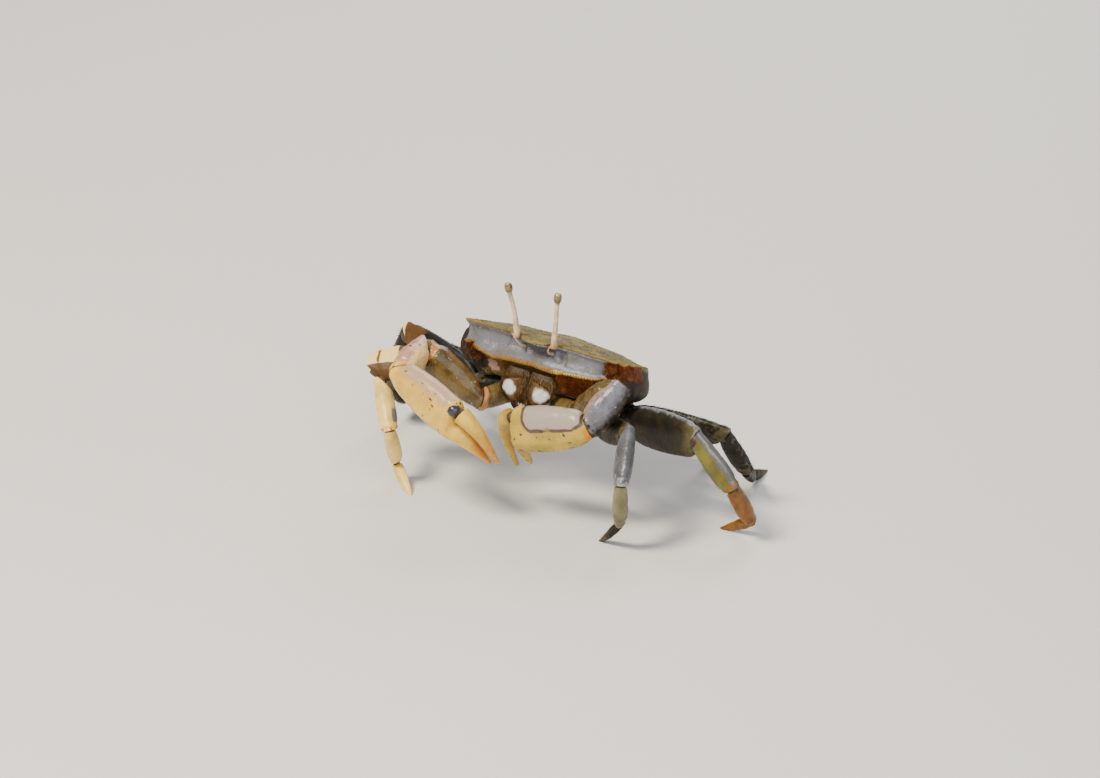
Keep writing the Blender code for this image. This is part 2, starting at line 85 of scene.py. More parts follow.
# %% [markdown]
# ## Small tools for shapes
# A soft step and a bell curve are enough to place every swelling, groove and coloured zone. A smooth curve
# through a few stops turns a handful of sizes into a fine surface; it works on single points and on whole
# rings alike. Its square-root spacing keeps it from swinging out where two stops lie close together.

# %% Steps, bells and curves
def unit(v):
    """Vectors divided by their own length."""
    v = np.asarray(v, dtype=float)
    return v / np.linalg.norm(v, axis=-1, keepdims=True)


def step(low, high, value):
    """Soft step 3t^2 - 2t^3 from 0 at low to 1 at high."""
    t = np.clip((value - low) / (high - low), 0.0, 1.0)
    return t * t * (3.0 - 2.0 * t)


def bell(value, centre, width):
    """Bell curve exp(-((value - centre) / width)^2)."""
    return np.exp(-(((value - centre) / width) ** 2))


def through(stops, per, corners=()):
    """Cubic pieces through the stops, per samples to a piece. A stop's slope is the weighted mean of the two
    chords beside it, each over the square root of its length, and zero at a corner."""
    p = np.asarray(stops, dtype=float)
    flat = p.reshape(len(p), -1)
    gap = np.sqrt(np.linalg.norm(np.diff(flat, axis=0), axis=1)) + 1e-9
    chord = np.diff(flat, axis=0) / gap[:, None]
    weight = (gap[:-1] / (gap[:-1] + gap[1:]))[:, None]
    slope = np.concatenate((chord[:1], chord[:-1] * (1.0 - weight) + chord[1:] * weight, chord[-1:]))
    slope[list(corners)] = 0.0
    span = np.append(np.repeat(np.arange(len(p) - 1), per), len(p) - 2)
    s = np.append(np.tile(np.arange(per) / per, len(p) - 1), 1.0)[:, None]
    h = gap[span][:, None]
    start = flat[span] * (2 * s**3 - 3 * s**2 + 1) + slope[span] * h * (s**3 - 2 * s**2 + s)
    end = flat[span + 1] * (3 * s**2 - 2 * s**3) + slope[span + 1] * h * (s**3 - s**2)
    return (start + end).reshape((len(s),) + p.shape[1:])


def ripple(points, size, seed):
    """Irregularity from about -1 to 1: the mean of twenty sine waves about size long in seeded directions."""
    rng = np.random.default_rng(seed)
    waves = unit(rng.normal(size=(20, 3))) * (2.0 * np.pi / size) * rng.uniform(0.6, 1.5, (20, 1))
    return 2.8 * np.sin(points @ waves.T + rng.uniform(0.0, 6.3, 20)).mean(axis=-1)


print("a curve through 4 stops, 3 samples a piece:", through(((0, 0), (1, 0), (2, 1), (3, 1)), 3).shape)

# %% [markdown]
# ## From rings to a mesh
# A stack of rings closes into one surface with quads between neighbouring rings and a fan of triangles to
# the middle of each end. The colour zones could be painted on an image, but the model needs none: masks are
# numbers on the points, such as how far along the limb a point lies. The materials read them, so a colour
# follows the form and never slides.

# %% Mesh tools
def normals(rings):
    """Outward unit normals of a stack of rings: the cross product of its two grid directions."""
    around = np.roll(rings, -1, axis=1) - np.roll(rings, 1, axis=1)
    n = np.cross(around, np.gradient(rings, axis=0))
    n = n / np.maximum(np.linalg.norm(n, axis=-1, keepdims=True), 1e-9)
    out = rings - rings.mean(axis=1, keepdims=True)
    return n * np.sign((n * out).sum())


def raised(rings, amount):
    """The rings moved along their outward normals by amount, in mm."""
    return rings + normals(rings) * amount[..., None]


def closed(rings, masks):
    """A closed part of a piece: points, four-sided and three-sided faces, and masks, one value a point."""
    n, m = rings.shape[:2]
    points = np.concatenate((rings.reshape(-1, 3), rings[:1].mean(axis=1), rings[-1:].mean(axis=1)))
    i, j = np.meshgrid(np.arange(n - 1) * m, np.arange(m), indexing="ij")
    k = (j + 1) % m
    quads = np.stack((i + j, i + k, i + m + k, i + m + j), axis=-1).reshape(-1, 4)
    a = np.arange(m)
    b = (a + 1) % m
    first = np.stack((b, a, np.full(m, n * m)), axis=-1)
    last = np.stack((a, b, np.full(m, n * m + 1)), axis=-1) + np.array(((n - 1) * m, (n - 1) * m, 0))
    values = {}
    for name, mask in masks.items():
        grid = np.broadcast_to(mask, (n, m))
        values[name] = np.concatenate((grid.ravel(), (grid[0].mean(), grid[-1].mean())))
    return outward({"points": points, "quads": quads, "tris": np.concatenate((first, last)), "masks": values})


def outward(part):
    """Turns all faces round where the signed volume under them is negative."""
    p = part["points"] - part["points"].mean(axis=0)
    q = np.concatenate((part["quads"][:, (0, 1, 2)], part["quads"][:, (0, 2, 3)], part["tris"]))
    volume = np.einsum("ij,ij->i", p[q[:, 0]], np.cross(p[q[:, 1]], p[q[:, 2]])).sum()
    if volume < 0.0:
        part["quads"] = part["quads"][:, ::-1]
        part["tris"] = part["tris"][:, ::-1]
    return part


def piece(name, parts, material, nodes=()):
    """Joins closed parts in mm into one object in metres that rides on the model and stands for nodes."""
    starts = np.cumsum([0] + [len(p["points"]) for p in parts[:-1]])
    points = np.concatenate([p["points"] for p in parts])
    faces = []
    for start, p in zip(starts, parts):
        faces += (p["quads"] + start).tolist() + (p["tris"] + start).tolist()
    mesh = bpy.data.meshes.new(name)
    mesh.from_pydata((points - MIDDLE) * MM, [], faces)
    for mask in parts[0]["masks"]:
        layer = mesh.attributes.new(mask, "FLOAT", "POINT")
        layer.data.foreach_set("value", np.concatenate([p["masks"][mask] for p in parts]).astype(np.float32))
    mesh.shade_smooth()
    mesh.set_sharp_from_angle(angle=np.radians(50.0))
    mesh.materials.append(material)
    thing = bpy.data.objects.new(name, mesh)
    bpy.context.scene.collection.objects.link(thing)
    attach(thing, "root")
    if nodes:
        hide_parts(*nodes)
    return thing


def dress(node, rings, masks, material):
    """One closed stack of rings that stands for one node and is named after it."""
    return piece(f"{node}_skin", [closed(rings, masks)], material, (node,))


print("nodes to dress:", len(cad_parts))

# %% [markdown]
# ## Small repeated forms
# Grains and hairs are one small shape set down many times. Instances of one object could do that, but a
# solid mesh keeps them in any other program too. The shape is worked out once in its own frame and placed by
# arrays of roots, directions and sizes, so thousands of them cost one line. Each has ten to twenty faces.

# %% Grains
# Points of a grain: two rings of six, its top and the middle of its underside.
GRAIN_POINTS = 14
# The upper ring's radius and height, as shares of the grain's.
GRAIN_WAIST = (0.78, 0.55)


def frames_of(direction):
    """Each direction as a unit vector, with two more unit vectors square to it and to one another."""
    d = unit(direction)
    helper = np.where(np.abs(d[:, 2:]) < 0.8, (0.0, 0.0, 1.0), (1.0, 0.0, 0.0))
    side = unit(np.cross(d, helper))
    return d, side, np.cross(d, side)


def grains(roots, direction, radius, tall=0.8, sunk=0.35):
    """Low domes: two rings of six and a top point, sunk into the surface by a share of their height."""
    d, a, b = frames_of(direction)
    radius = np.broadcast_to(radius, len(roots))[:, None, None]
    turn = np.radians(np.arange(6) * 60.0)[None, :, None]
    circle = np.cos(turn) * a[:, None] + np.sin(turn) * b[:, None]
    lift = d[:, None] * tall
    base = roots[:, None] + radius * (circle - lift * sunk)
    waist = roots[:, None] + radius * (circle * GRAIN_WAIST[0] + lift * GRAIN_WAIST[1])
    top = roots[:, None] + radius * lift
    floor = roots[:, None] - radius * lift * sunk
    points = np.concatenate((base, waist, top, floor), axis=1)
    i = np.arange(6)
    j = (i + 1) % 6
    quads = np.stack((i, j, j + 6, i + 6), axis=-1)
    cap = np.stack((i + 6, j + 6, np.full(6, 12)), axis=-1)
    under = np.stack((j, i, np.full(6, 13)), axis=-1)
    return scattered(points, quads, np.concatenate((cap, under)))


def scattered(points, quads, tris):
    """Copies of one small closed form as one part, faces turned outward as its first copy needs."""
    count, size = points.shape[:2]
    single = outward({"points": points[0], "quads": quads, "tris": tris})
    shift = (np.arange(count) * size)[:, None, None]
    return {
        "points": points.reshape(-1, 3),
        "quads": (single["quads"][None] + shift).reshape(-1, 4),
        "tris": (single["tris"][None] + shift).reshape(-1, 3),
        "masks": {},
    }


def with_masks(part, **values):
    """The part with each mask set to one value all over."""
    part["masks"] = {name: np.full(len(part["points"]), float(v)) for name, v in values.items()}
    return part


grain = grains(np.zeros((1, 3)), np.array((UP,)), 0.1)
print("faces of a grain:", len(grain["quads"]) + len(grain["tris"]))

# %% Hairs
HAIR_STATIONS = (0.0, 0.4, 0.75, 1.0)
HAIR_POINTS = 3 * (len(HAIR_STATIONS) - 1) + 1
# The share of a hair that is sunk into the skin, its thickness over its width, and its patch on the map.
HAIR_SUNK = 0.12
HAIR_FLAT = 0.6
HAIR_PATCH = (0.0015, 0.003)


def hairs(roots, direction, droop, length, width, uv):
    """Tapered three-sided hairs. Their middle line leaves the root along direction and bends towards droop
    with the square of the way; three points stand round it at each station but the last, the tip. Each hair
    has a small patch of the map at its place uv."""
    d, a, b = frames_of(direction)
    length = length[:, None]
    stations = []
    for t in HAIR_STATIONS[:-1]:
        centre = roots + d * length * (t - HAIR_SUNK) + droop * length * t * t * 0.5
        wide = width * (1.0 - 0.8 * t**1.5)
        for turn in np.radians((0.0, 120.0, 240.0)):
            stations.append((centre + wide * (np.cos(turn) * a + HAIR_FLAT * np.sin(turn) * b))[:, None])
    tip = roots + d * length * (1.0 - HAIR_SUNK) + droop * length * 0.5
    points = np.concatenate(stations + [tip[:, None]], axis=1)
    ring = np.arange(3)
    nxt = (ring + 1) % 3
    quads = np.concatenate([np.stack((ring + s, nxt + s, nxt + s + 3, ring + s + 3), -1) for s in (0, 3)])
    tris = np.concatenate((np.stack((ring + 6, nxt + 6, np.full(3, 9)), -1), np.array(((2, 1, 0),))))
    part = scattered(points, quads, tris)
    along = np.append(np.repeat(HAIR_STATIONS[:-1], 3), 1.0)
    part["masks"] = {"along": np.tile(along, len(roots))}
    across = np.array((-1, 0, 1, -0.8, 0, 0.8, -0.5, 0, 0.5, 0)) * HAIR_PATCH[0]
    small = np.stack((across, (along - 0.5) * HAIR_PATCH[1]), axis=-1)
    part["uv"] = (uv[:, None] + small[None]).reshape(-1, 2)
    return part


hair = hairs(np.zeros((1, 3)), np.array((UP,)), UP, np.ones(1), 0.05, np.zeros((1, 2)))
print("faces of a hair:", len(hair["quads"]) + len(hair["tris"]))

# %% [markdown]
# ## Finishes
# A crab's shell is chitin hardened with lime, grown in thin layers and here wet: a stained, slightly mottled
# body colour under a thin film of water. Each finish therefore starts from a body colour with mottles, lays
# further colours over it where a mask says so, with ragged edges, and ends in a fine grain, under a clear
# coat where the shell is glossy. The index of refraction lies between water's 1.33 and dry chitin's 1.56.
# The real grain is about a tenth of a millimetre wide, too fine to show in a picture of the whole animal, so
# it is drawn four to five times as coarse. One function adds a node; one function lays down such a finish.

# %% Colour and node tools
def tint(code):
    """sRGB hex digits to linear colour: v / 12.92 below 0.04045, else ((v + 0.055) / 1.055) ^ 2.4."""
    v = np.array([int(code[i : i + 2], 16) / 255.0 for i in (0, 2, 4)])
    v = np.where(v <= 0.04045, v / 12.92, ((v + 0.055) / 1.055) ** 2.4)
    return (*v.tolist(), 1.0)


def add(tree, kind, settings, links):
    """Adds a node with its properties set, and each input linked to an output or set to a value."""
    node = tree.nodes.new(kind)
    for name, value in settings.items():
        setattr(node, name, value)
    for name, value in links.items():
        if isinstance(value, bpy.types.NodeSocket):
            tree.links.new(value, node.inputs[name])
        else:
            node.inputs[name].default_value = value
    return node


def per_mm(size):
    """The scale of a texture on Object coordinates, which are in metres, for features size mm apart."""
    return 1.0 / (size * MM)


WET_SHELL_IOR = 1.36
SOFT_STEP = {"interpolation_type": "SMOOTHSTEP"}
COLOURS = {"data_type": "RGBA"}
NUMBERS = {"data_type": "FLOAT"}


def shell_finish(name, body, mottle, layers=(), rough=0.3, mottle_mm=3.0, grain_mm=0.5, relief_mm=0.06,
                 coat=0.08, coat_rough=0.2, ragged=0.3, ragged_mm=0.9, shine=0.5):
    """A wet stained shell. Each layer is (mask, low, high, colour, roughness): its cover goes from none where
    the mask is low to full where it is high, shifted by noise times ragged so that the edge is uneven."""
    made = bpy.data.materials.new(name)
    made.use_nodes = True
    tree = made.node_tree
    shader = tree.nodes["Principled BSDF"]
    place = add(tree, "ShaderNodeTexCoord", {}, {}).outputs["Object"]
    noises = []
    for size, detail in ((mottle_mm, 5.0), (ragged_mm, 3.0), (grain_mm, 4.0)):
        links = {"Vector": place, "Scale": per_mm(size), "Detail": detail}
        noises.append(add(tree, "ShaderNodeTexNoise", {}, links).outputs["Fac"])
    cloud, edge, fine = noises
    spread = add(tree, "ShaderNodeMapRange", SOFT_STEP,
                 {"Value": cloud, "From Min": 0.36, "From Max": 0.66}).outputs[0]
    uneven = add(tree, "ShaderNodeMapRange", {},
                 {"Value": edge, "From Min": 0.25, "From Max": 0.75, "To Min": -ragged,
                  "To Max": ragged}).outputs[0]
    gloss = add(tree, "ShaderNodeMapRange", {},
                {"Value": edge, "From Min": 0.3, "From Max": 0.7, "To Min": rough - 0.08,
                 "To Max": rough + 0.1}).outputs[0]
    colour = add(tree, "ShaderNodeMix", COLOURS, {0: spread, 6: tint(body), 7: tint(mottle)}).outputs[2]
    for mask, low, high, shade, layer_rough in layers:
        value = add(tree, "ShaderNodeAttribute", {"attribute_name": mask}, {}).outputs["Fac"]
        moved = add(tree, "ShaderNodeMath", {"operation": "ADD"}, {0: value, 1: uneven}).outputs[0]
        cover = add(tree, "ShaderNodeMapRange", SOFT_STEP,
                    {"Value": moved, "From Min": low, "From Max": high}).outputs[0]
        colour = add(tree, "ShaderNodeMix", COLOURS, {0: cover, 6: colour, 7: tint(shade)}).outputs[2]
        gloss = add(tree, "ShaderNodeMix", NUMBERS, {0: cover, 2: gloss, 3: layer_rough}).outputs[0]
    bump = add(tree, "ShaderNodeBump", {}, {"Height": fine, "Distance": relief_mm * MM, "Strength": 1.0})
    for socket, value in (("Base Color", colour), ("Roughness", gloss), ("Normal", bump.outputs[0])):
        tree.links.new(value, shader.inputs[socket])
    for socket, value in (("Coat Weight", coat), ("Coat Roughness", coat_rough), ("IOR", WET_SHELL_IOR),
                          ("Specular IOR Level", shine)):
        shader.inputs[socket].default_value = value
    return made


print("sRGB 808080 is", [round(v, 3) for v in tint("808080")])

# %% [markdown]
# ## The shell
# The carapace is a flat box with a sharp edge: a front lobe between the eyes, a long upper rim over each eye
# trench, three teeth at the side and a plain rear. It could be a box pushed into shape by hand, but its edge
# has to run exactly where the solid's runs. Seen from above that edge is one closed line, so the shell is
# drawn as shrinking copies of the line over the back and as a wall profile under it: (inset, drop) pairs
# over the face, in the middle over the mouth, at the sides and at the rear, blended round the line.

# %% Sizes of the shell
# Points (x, y, z) of the margin's left half, from the front lobe round to the rear, then which are teeth.
OUTLINE = (
    (0.0, -12.0, 0.0), (1.7, -11.9, 0.1), (2.6, -11.4, 0.2), (2.9, -10.4, 0.3), (3.6, -9.8, 0.4),
    (5.8, -9.7, 0.3), (8.4, -9.5, 0.2), (11.2, -9.2, 0.1), (13.8, -8.9, 0.1), (16.1, -8.7, 0.1),
    (15.5, -7.0, -0.1), (16.9, -6.3, -0.2), (16.2, -4.2, -0.3), (16.9, -3.5, -0.4), (16.6, -1.6, -0.5),
    (16.3, 1.4, -0.8), (15.6, 4.6, -1.4), (14.2, 7.4, -2.0), (12.2, 9.6, -2.3), (9.2, 10.9, -2.2),
    (5.0, 11.6, -1.9), (0.0, 11.7, -1.7),
)
TEETH = (9, 10, 11, 12, 13, 14)
# Half the width and half the depth of the shell over its teeth.
HALF_WIDTH = 17.0
HALF_DEPTH = 11.8
# The wall under the front lobe stands no further forward than this.
FRONT_Y = -9.8
# How far the middle of the back rises over the margin, and the height of the shell's flat underside.
DOME = 0.5
FLOOR_OF_SHELL = -8.7
FACE = ((0.0, 0.0), (0.2, 0.45), (0.6, 1.3), (0.35, 2.8), (-0.4, 3.9), (-0.9, 4.5), (-0.5, 4.95), (0.6, 5.6),
        (1.9, 7.0), (3.2, 8.5))
MOUTH = ((0.0, 0.0), (0.1, 0.6), (0.9, 1.2), (1.0, 2.4), (0.0, 3.7), (-0.6, 4.5), (-0.5, 4.95), (1.9, 5.3),
         (2.2, 7.0), (2.6, 8.5))
SIDE = ((0.0, 0.0), (-0.25, 0.5), (-0.75, 1.3), (-1.3, 2.4), (-1.65, 3.6), (-1.8, 4.7), (-1.65, 5.8),
        (-0.9, 6.9), (0.8, 7.9), (4.3, 8.6))
# How far the ridge under the orbit draws in at the outer end of the face.
RIDGE_END = 1.7
REAR = ((0.0, 0.0), (0.0, 0.5), (0.05, 1.4), (0.2, 2.5), (0.45, 3.6), (0.75, 4.6), (1.15, 5.5), (1.8, 6.5),
        (2.8, 7.5), (4.4, 8.5))
# The ridge's drop at places along the face, as a factor: it hangs lowest over the right claw.
RIDGE_X = (-17.0, -15.0, -12.0, -8.0, -5.4, 0.0, 3.5, 8.0, 12.0, 15.0, 17.0)
RIDGE_DROP = (0.78, 0.84, 1.0, 1.18, 1.08, 0.96, 1.05, 0.97, 0.9, 0.8, 0.76)
# The rings over the back, as shares of the margin.
BACK_RINGS = (0.985, 0.95, 0.9, 0.84, 0.77, 0.69, 0.6, 0.5, 0.4, 0.3, 0.2, 0.1, 0.03)
# Fine points for each point of the outline, and fine rings for each coarse one.
FINE = 12
RINGS_A_STOP = 4


def whole_outline(fine):
    """The left half of the margin as a smooth curve with sharp teeth, joined to its mirror image."""
    left = through(OUTLINE, fine, TEETH)
    return np.concatenate((left, left[-2:0:-1] * (-1.0, 1.0, 1.0)))


def averaged(loop, reach):
    """The line with its teeth smoothed away: the mean of its copies shifted up to reach points each way."""
    return np.mean([np.roll(loop, k, axis=0) for k in range(-reach, reach + 1)], axis=0)


loop = whole_outline(FINE)
soft = averaged(loop, 2 * FINE)
print("points round the margin:", len(loop), "width in mm:", round(np.ptp(loop[:, 0]), 1))

# %% [markdown]
# The back is nearly flat. Grooves part it into the regions of stomach, heart and gills, and the grooves and
# swellings are bell curves across it. The wall is blended from the four profiles by how far forward and how
# far back a point of the margin lies.

# %% Rings of the shell
def back_relief(x, y):
    """Bells added up: stomach, heart and gill swellings, the neck grooves and the bar across behind them."""
    ax = np.abs(x)
    swell = 0.35 * bell(x, 0, 4.2) * bell(y, -3.6, 3.2) + 0.25 * bell(x, 0, 3.0) * bell(y, 4.4, 2.2)
    swell += 0.3 * bell(ax, 10.0, 3.4) * bell(y, 1.0, 4.5)
    groove = 0.4 * bell(ax, 5.4 + 0.25 * (y + 4.0), 0.9) * bell(y, -3.5, 4.0)
    groove += 0.35 * bell(y, 1.3, 0.8) * bell(x, 0, 4.5)
    groove += 0.22 * bell(y, 0.6 - 0.1 * ax, 0.7) * bell(ax, 9.5, 4.0)
    groove += 0.2 * bell(x, 0, 0.5) * bell(y, -9.0, 2.0)
    return swell - groove


def shell_stops():
    """Coarse rings: back rings by share of the margin, then ten wall rings by inset and drop."""
    rings = []
    for f in reversed(BACK_RINGS):
        base = soft + (loop - soft) * step(0.9, 1.0, np.full(1, f))
        x = base[:, 0] * f
        y = 0.3 + (base[:, 1] - 0.3) * f
        z = base[:, 2] * f**2 + DOME * (1.0 - f**2.4) + back_relief(x, y) * step(0.0, 0.25, 1.0 - f)
        rings.append(np.stack((x, y, z), axis=1))
    ax, y = np.abs(loop[:, 0]), loop[:, 1]
    face = (1.0 - step(-8.4, -4.0, y))[:, None]
    rear = step(5.5, 10.0, y)[:, None]
    mouth = ((1.0 - step(5.4, 6.3, ax)) * (y < -8.0))[:, None]
    # The way out is square to the superellipse of power 6 that is as wide and as deep as the margin.
    out = unit(np.stack((np.sign(loop[:, 0]) * (ax / HALF_WIDTH) ** 5 / HALF_WIDTH,
                         np.sign(y) * np.abs(y / HALF_DEPTH) ** 5 / HALF_DEPTH), axis=1))
    ridge = np.interp(loop[:, 0], RIDGE_X, RIDGE_DROP)
    for k, (f, m, s, r) in enumerate(zip(FACE, MOUTH, SIDE, REAR)):
        front = np.array(f) * (1.0 - mouth) + np.array(m) * mouth
        inset, drop = (front * face + np.array(s) * (1.0 - face - rear) + np.array(r) * rear).T
        near_ridge = bell(k, 5.0, 2.2) * face[:, 0]
        drop = drop * (1.0 + (ridge - 1.0) * near_ridge)
        inset = inset + RIDGE_END * step(11.5, 16.0, ax) * near_ridge
        base = loop.copy() if k < 2 else soft + (loop - soft) * (0.5 if k == 2 else 0.0)
        if k >= 2:
            base[:, 1] = np.where(ax < 5.0, np.maximum(base[:, 1], FRONT_Y), base[:, 1])
        z = base[:, 2] * (1.0 - k / 9.0) - drop if k < 9 else np.full(len(loop), FLOOR_OF_SHELL)
        rings.append(np.stack((base[:, 0] - out[:, 0] * inset, base[:, 1] - out[:, 1] * inset, z), axis=1))
    last = rings[-1]
    rings.append(np.stack((last[:, 0] * 0.5, last[:, 1] * 0.5, np.full(len(last), FLOOR_OF_SHELL)), axis=1))
    return np.array(rings)


shell = through(shell_stops(), RINGS_A_STOP)
RIM_ROW = len(BACK_RINGS) * RINGS_A_STOP
# Place of each ring down the wall: 0 at the rim, negative on the back.
wall = (np.arange(len(shell)) / RINGS_A_STOP - len(BACK_RINGS))[:, None]
print("rings of the shell:", len(shell), "of", shell.shape[1], "points")

# %% [markdown]
# The masks of the shell say where each colour lies: the wet grey film that fills the eye trenches, with its
# smears and its pale lines, which are painted sheen, the grainy golden ridge under it, the brown hairy cheeks
# below the ridge with a near-black painted shadow at the crab's right end, and the flanks, darkened as painted
# shade. On the real animal the film is a thin layer of fine mud that the wet trenches hold. Every mask is a
# product of soft steps along x, along y and down the wall, because steps are easy to shift one by one.

# %% Masks and relief of the shell
sx, sy, sz = shell[..., 0], shell[..., 1], shell[..., 2]
facing = 1.0 - step(-7.6, -5.2, sy)
cheek = facing * step(5.1, 5.7, wall)
outer = step(13.2, 14.6, sx) * (1.0 - step(-1.6, 1.2, sy))
corner = outer * step(0.5, 1.0, wall) * (1.0 - step(2.6, 3.6, wall))
film = facing * step(0.5, 0.9, wall) * (1.0 - step(4.3, 4.7, wall)) * (1.0 - step(13.4, 14.8, sx))
rim = facing * step(4.1, 4.7, wall) * (1.0 - step(5.3, 6.0, wall)) * (1.0 - step(13.0, 15.0, sx))
rim = rim * (1.0 - 0.55 * step(0.1, 0.9, ripple(shell, 2.2, 12)))
# Painted sheen: pale lines where the wet film would catch the light, low in the trench and near its top on the
# left.
shine_line = bell(wall, 3.9, 0.5) * step(-2.0, 4.0, sx) + bell(wall, 0.9, 0.3) * (sx > 0.0)
masks = {
    "film": film,
    "smear": film * step(-0.3, 0.8, ripple(shell, 3.4, 9)),
    "pale": film * np.clip(shine_line, 0.0, 1.0),
    "ridge": rim,
    "gold": rim * step(1.0, 7.0, sx),
    "cheek": cheek,
    "rust": np.maximum(cheek * step(3.0, 7.0, sx), corner),
    # Near-black painted shadow on the outer part of the right cheek.
    "painted_shadow": cheek * step(-8.5, -12.0, sx),
    "pink": bell(sx, -9.0, 1.3) * bell(sz, -6.9, 1.9) * facing,
    "blush": bell(sx, -14.5, 2.4) * bell(sy, -8.4, 1.6) * (1.0 - step(0.1, 0.5, wall)),
    # The flanks and the rear wall are darkened as painted shade.
    "painted_shade_flank": np.maximum(1.0 - facing, step(13.4, 14.8, sx)) * step(0.4, 2.4, wall) * (1.0 - corner),
    "edge": step(-0.9, -0.1, wall) * (1.0 - step(0.3, 0.6, wall)),
    "groove": np.clip(-back_relief(sx, sy) * 3.0, 0.0, 1.0) * (wall < 0.0),
}
shell = raised(shell, 0.035 * ripple(shell, 2.4, 3) + 0.02 * ripple(shell, 1.0, 4))
print("masks on the shell:", sorted(masks))

# %% [markdown]
# The finish of the shell starts olive with brown mottles, as the back is, and every mask lays one more
# colour over it. One material for the whole shell lets neighbouring colours run into each other. The pale
# lines of the film are painted sheen and the smoothest, because they are the wettest; the flanks carry
# painted shade and are the roughest, and dull.

# %% Finish and object of the shell
CARAPACE = shell_finish(
    "wet_stained_carapace", "786A36", "5A5030",
    layers=(("groove", 0.25, 1.0, "3A3220", 0.5), ("blush", 0.35, 0.9, "A5703C", 0.4),
            ("edge", 0.3, 0.9, "8E7434", 0.4), ("cheek", 0.35, 0.7, "6A5224", 0.45),
            # The near-black of the flanks and the rear wall is painted shade.
            ("painted_shade_flank", 0.2, 0.9, "26221A", 0.6), ("rust", 0.3, 0.75, "703C1C", 0.5),
            # Near-black painted shadow on the right cheek.
            ("painted_shadow", 0.2, 0.8, "15120F", 0.5), ("pink", 0.4, 0.65, "BC9484", 0.35),
            ("film", 0.35, 0.65, "68686C", 0.3), ("smear", 0.3, 1.0, "5E5C58", 0.4),
            # The pale lines of the film are painted sheen.
            ("pale", 0.4, 1.1, "93959F", 0.25), ("ridge", 0.3, 0.8, "7C5820", 0.4),
            ("gold", 0.3, 0.8, "B49A50", 0.35)),
    rough=0.42, mottle_mm=2.2, grain_mm=0.4, relief_mm=0.1, coat=0.0, shine=0.35)
carapace = dress("carapace", to_room(shell), masks, CARAPACE)
print("carapace faces:", len(carapace.data.polygons))

# %% [markdown]
# ## Grains of the margin
# The rim of the back and the ridge under the eyes carry rows of small grains, and finer grains are strewn
# over the back, most of them near its edge. They are real domes, not bump, because they break the outline.
# The rows run at an even spacing along a line that is picked out of the finished surface.

# %% Rows of grains
def along_line(line, spacing):
    """Points at an even spacing along a polyline, by the running length of its chords."""
    run = np.concatenate(((0.0,), np.cumsum(np.linalg.norm(np.diff(line, axis=0), axis=1))))
    at = np.arange(0.5 * spacing, run[-1], spacing)
    return np.stack([np.interp(at, run, line[:, k]) for k in range(3)], axis=1)


room_shell = to_room(shell)
room_out = normals(room_shell)
RIDGE_ROW = RIM_ROW + 5 * RINGS_A_STOP
front_half = np.where(shell[RIDGE_ROW, :, 1] < -5.5)[0]
front_half = np.roll(front_half, len(front_half) // 2)
parts = []
for row, cols, size, spacing, on_ridge in ((RIM_ROW, np.arange(shell.shape[1]), 0.16, 0.42, 0.0),
                                           (RIDGE_ROW, front_half, 0.22, 0.55, 1.0)):
    line = along_line(room_shell[row, cols], spacing)
    lie = along_line(room_shell[row, cols] + room_out[row, cols], spacing)[: len(line)]
    line = line[: len(lie)]
    rng = np.random.default_rng(row)
    dots = grains(line, lie - line, size * rng.uniform(0.75, 1.2, len(line)))
    parts.append(with_masks(dots, ridge=on_ridge, edge=1.0 - on_ridge))
print("grains in rows:", sum(len(p["points"]) for p in parts) // GRAIN_POINTS)

# %% Grains strewn over the back
# Random places that are tried; the nearer one is to the margin, the likelier it keeps its grain.
STREWN = 5200
rng = np.random.default_rng(7)
row, col = rng.integers(8, RIM_ROW - 2, STREWN), rng.integers(0, shell.shape[1], STREWN)
kept = rng.random(STREWN) < np.hypot(shell[row, col, 0] / HALF_WIDTH, shell[row, col, 1] / 12.0)
row, col = row[kept], col[kept]
dots = grains(room_shell[row, col], room_out[row, col], rng.uniform(0.07, 0.14, len(row)), 0.7)
parts.append(with_masks(dots, ridge=0, edge=0))
piece("shell_grains", parts, CARAPACE)
print("grains on the shell:", sum(len(p["points"]) for p in parts) // GRAIN_POINTS)

# %% [markdown]
# ## Limb segments
# A crab's leg is a chain of stiff tubes: hip, upper leg, wrist, shank and toe. An armature could bend one
# long mesh, but shell doesn't bend, so each tube is its own piece. It ends in the plane that halves the bend
# of the joint, half a gap short of it, as the solids do. Its cross-section is a superellipse, its breadth
# follows a short profile, and the chain is laid out by length, azimuth and elevation.

# %% Chains and segments
def heading(azimuth, elevation):
    """Unit vector at azimuth degrees from x towards y and elevation degrees over the floor."""
    a, e = np.radians(azimuth), np.radians(elevation)
    return np.array((np.cos(e) * np.cos(a), np.cos(e) * np.sin(a), np.sin(e)))


def oval(count, power):
    """Superellipse |x|^p + |y|^p = 1 as points at even angles."""
    a = np.linspace(0.0, 2.0 * np.pi, count, endpoint=False)
    c, s = np.cos(a), np.sin(a)
    return np.sign(c) * np.abs(c) ** (2.0 / power), np.sign(s) * np.abs(s) ** (2.0 / power)


# How far a toe's last ring would reach if the floor didn't cut it.
UNDER_FLOOR = 9.0


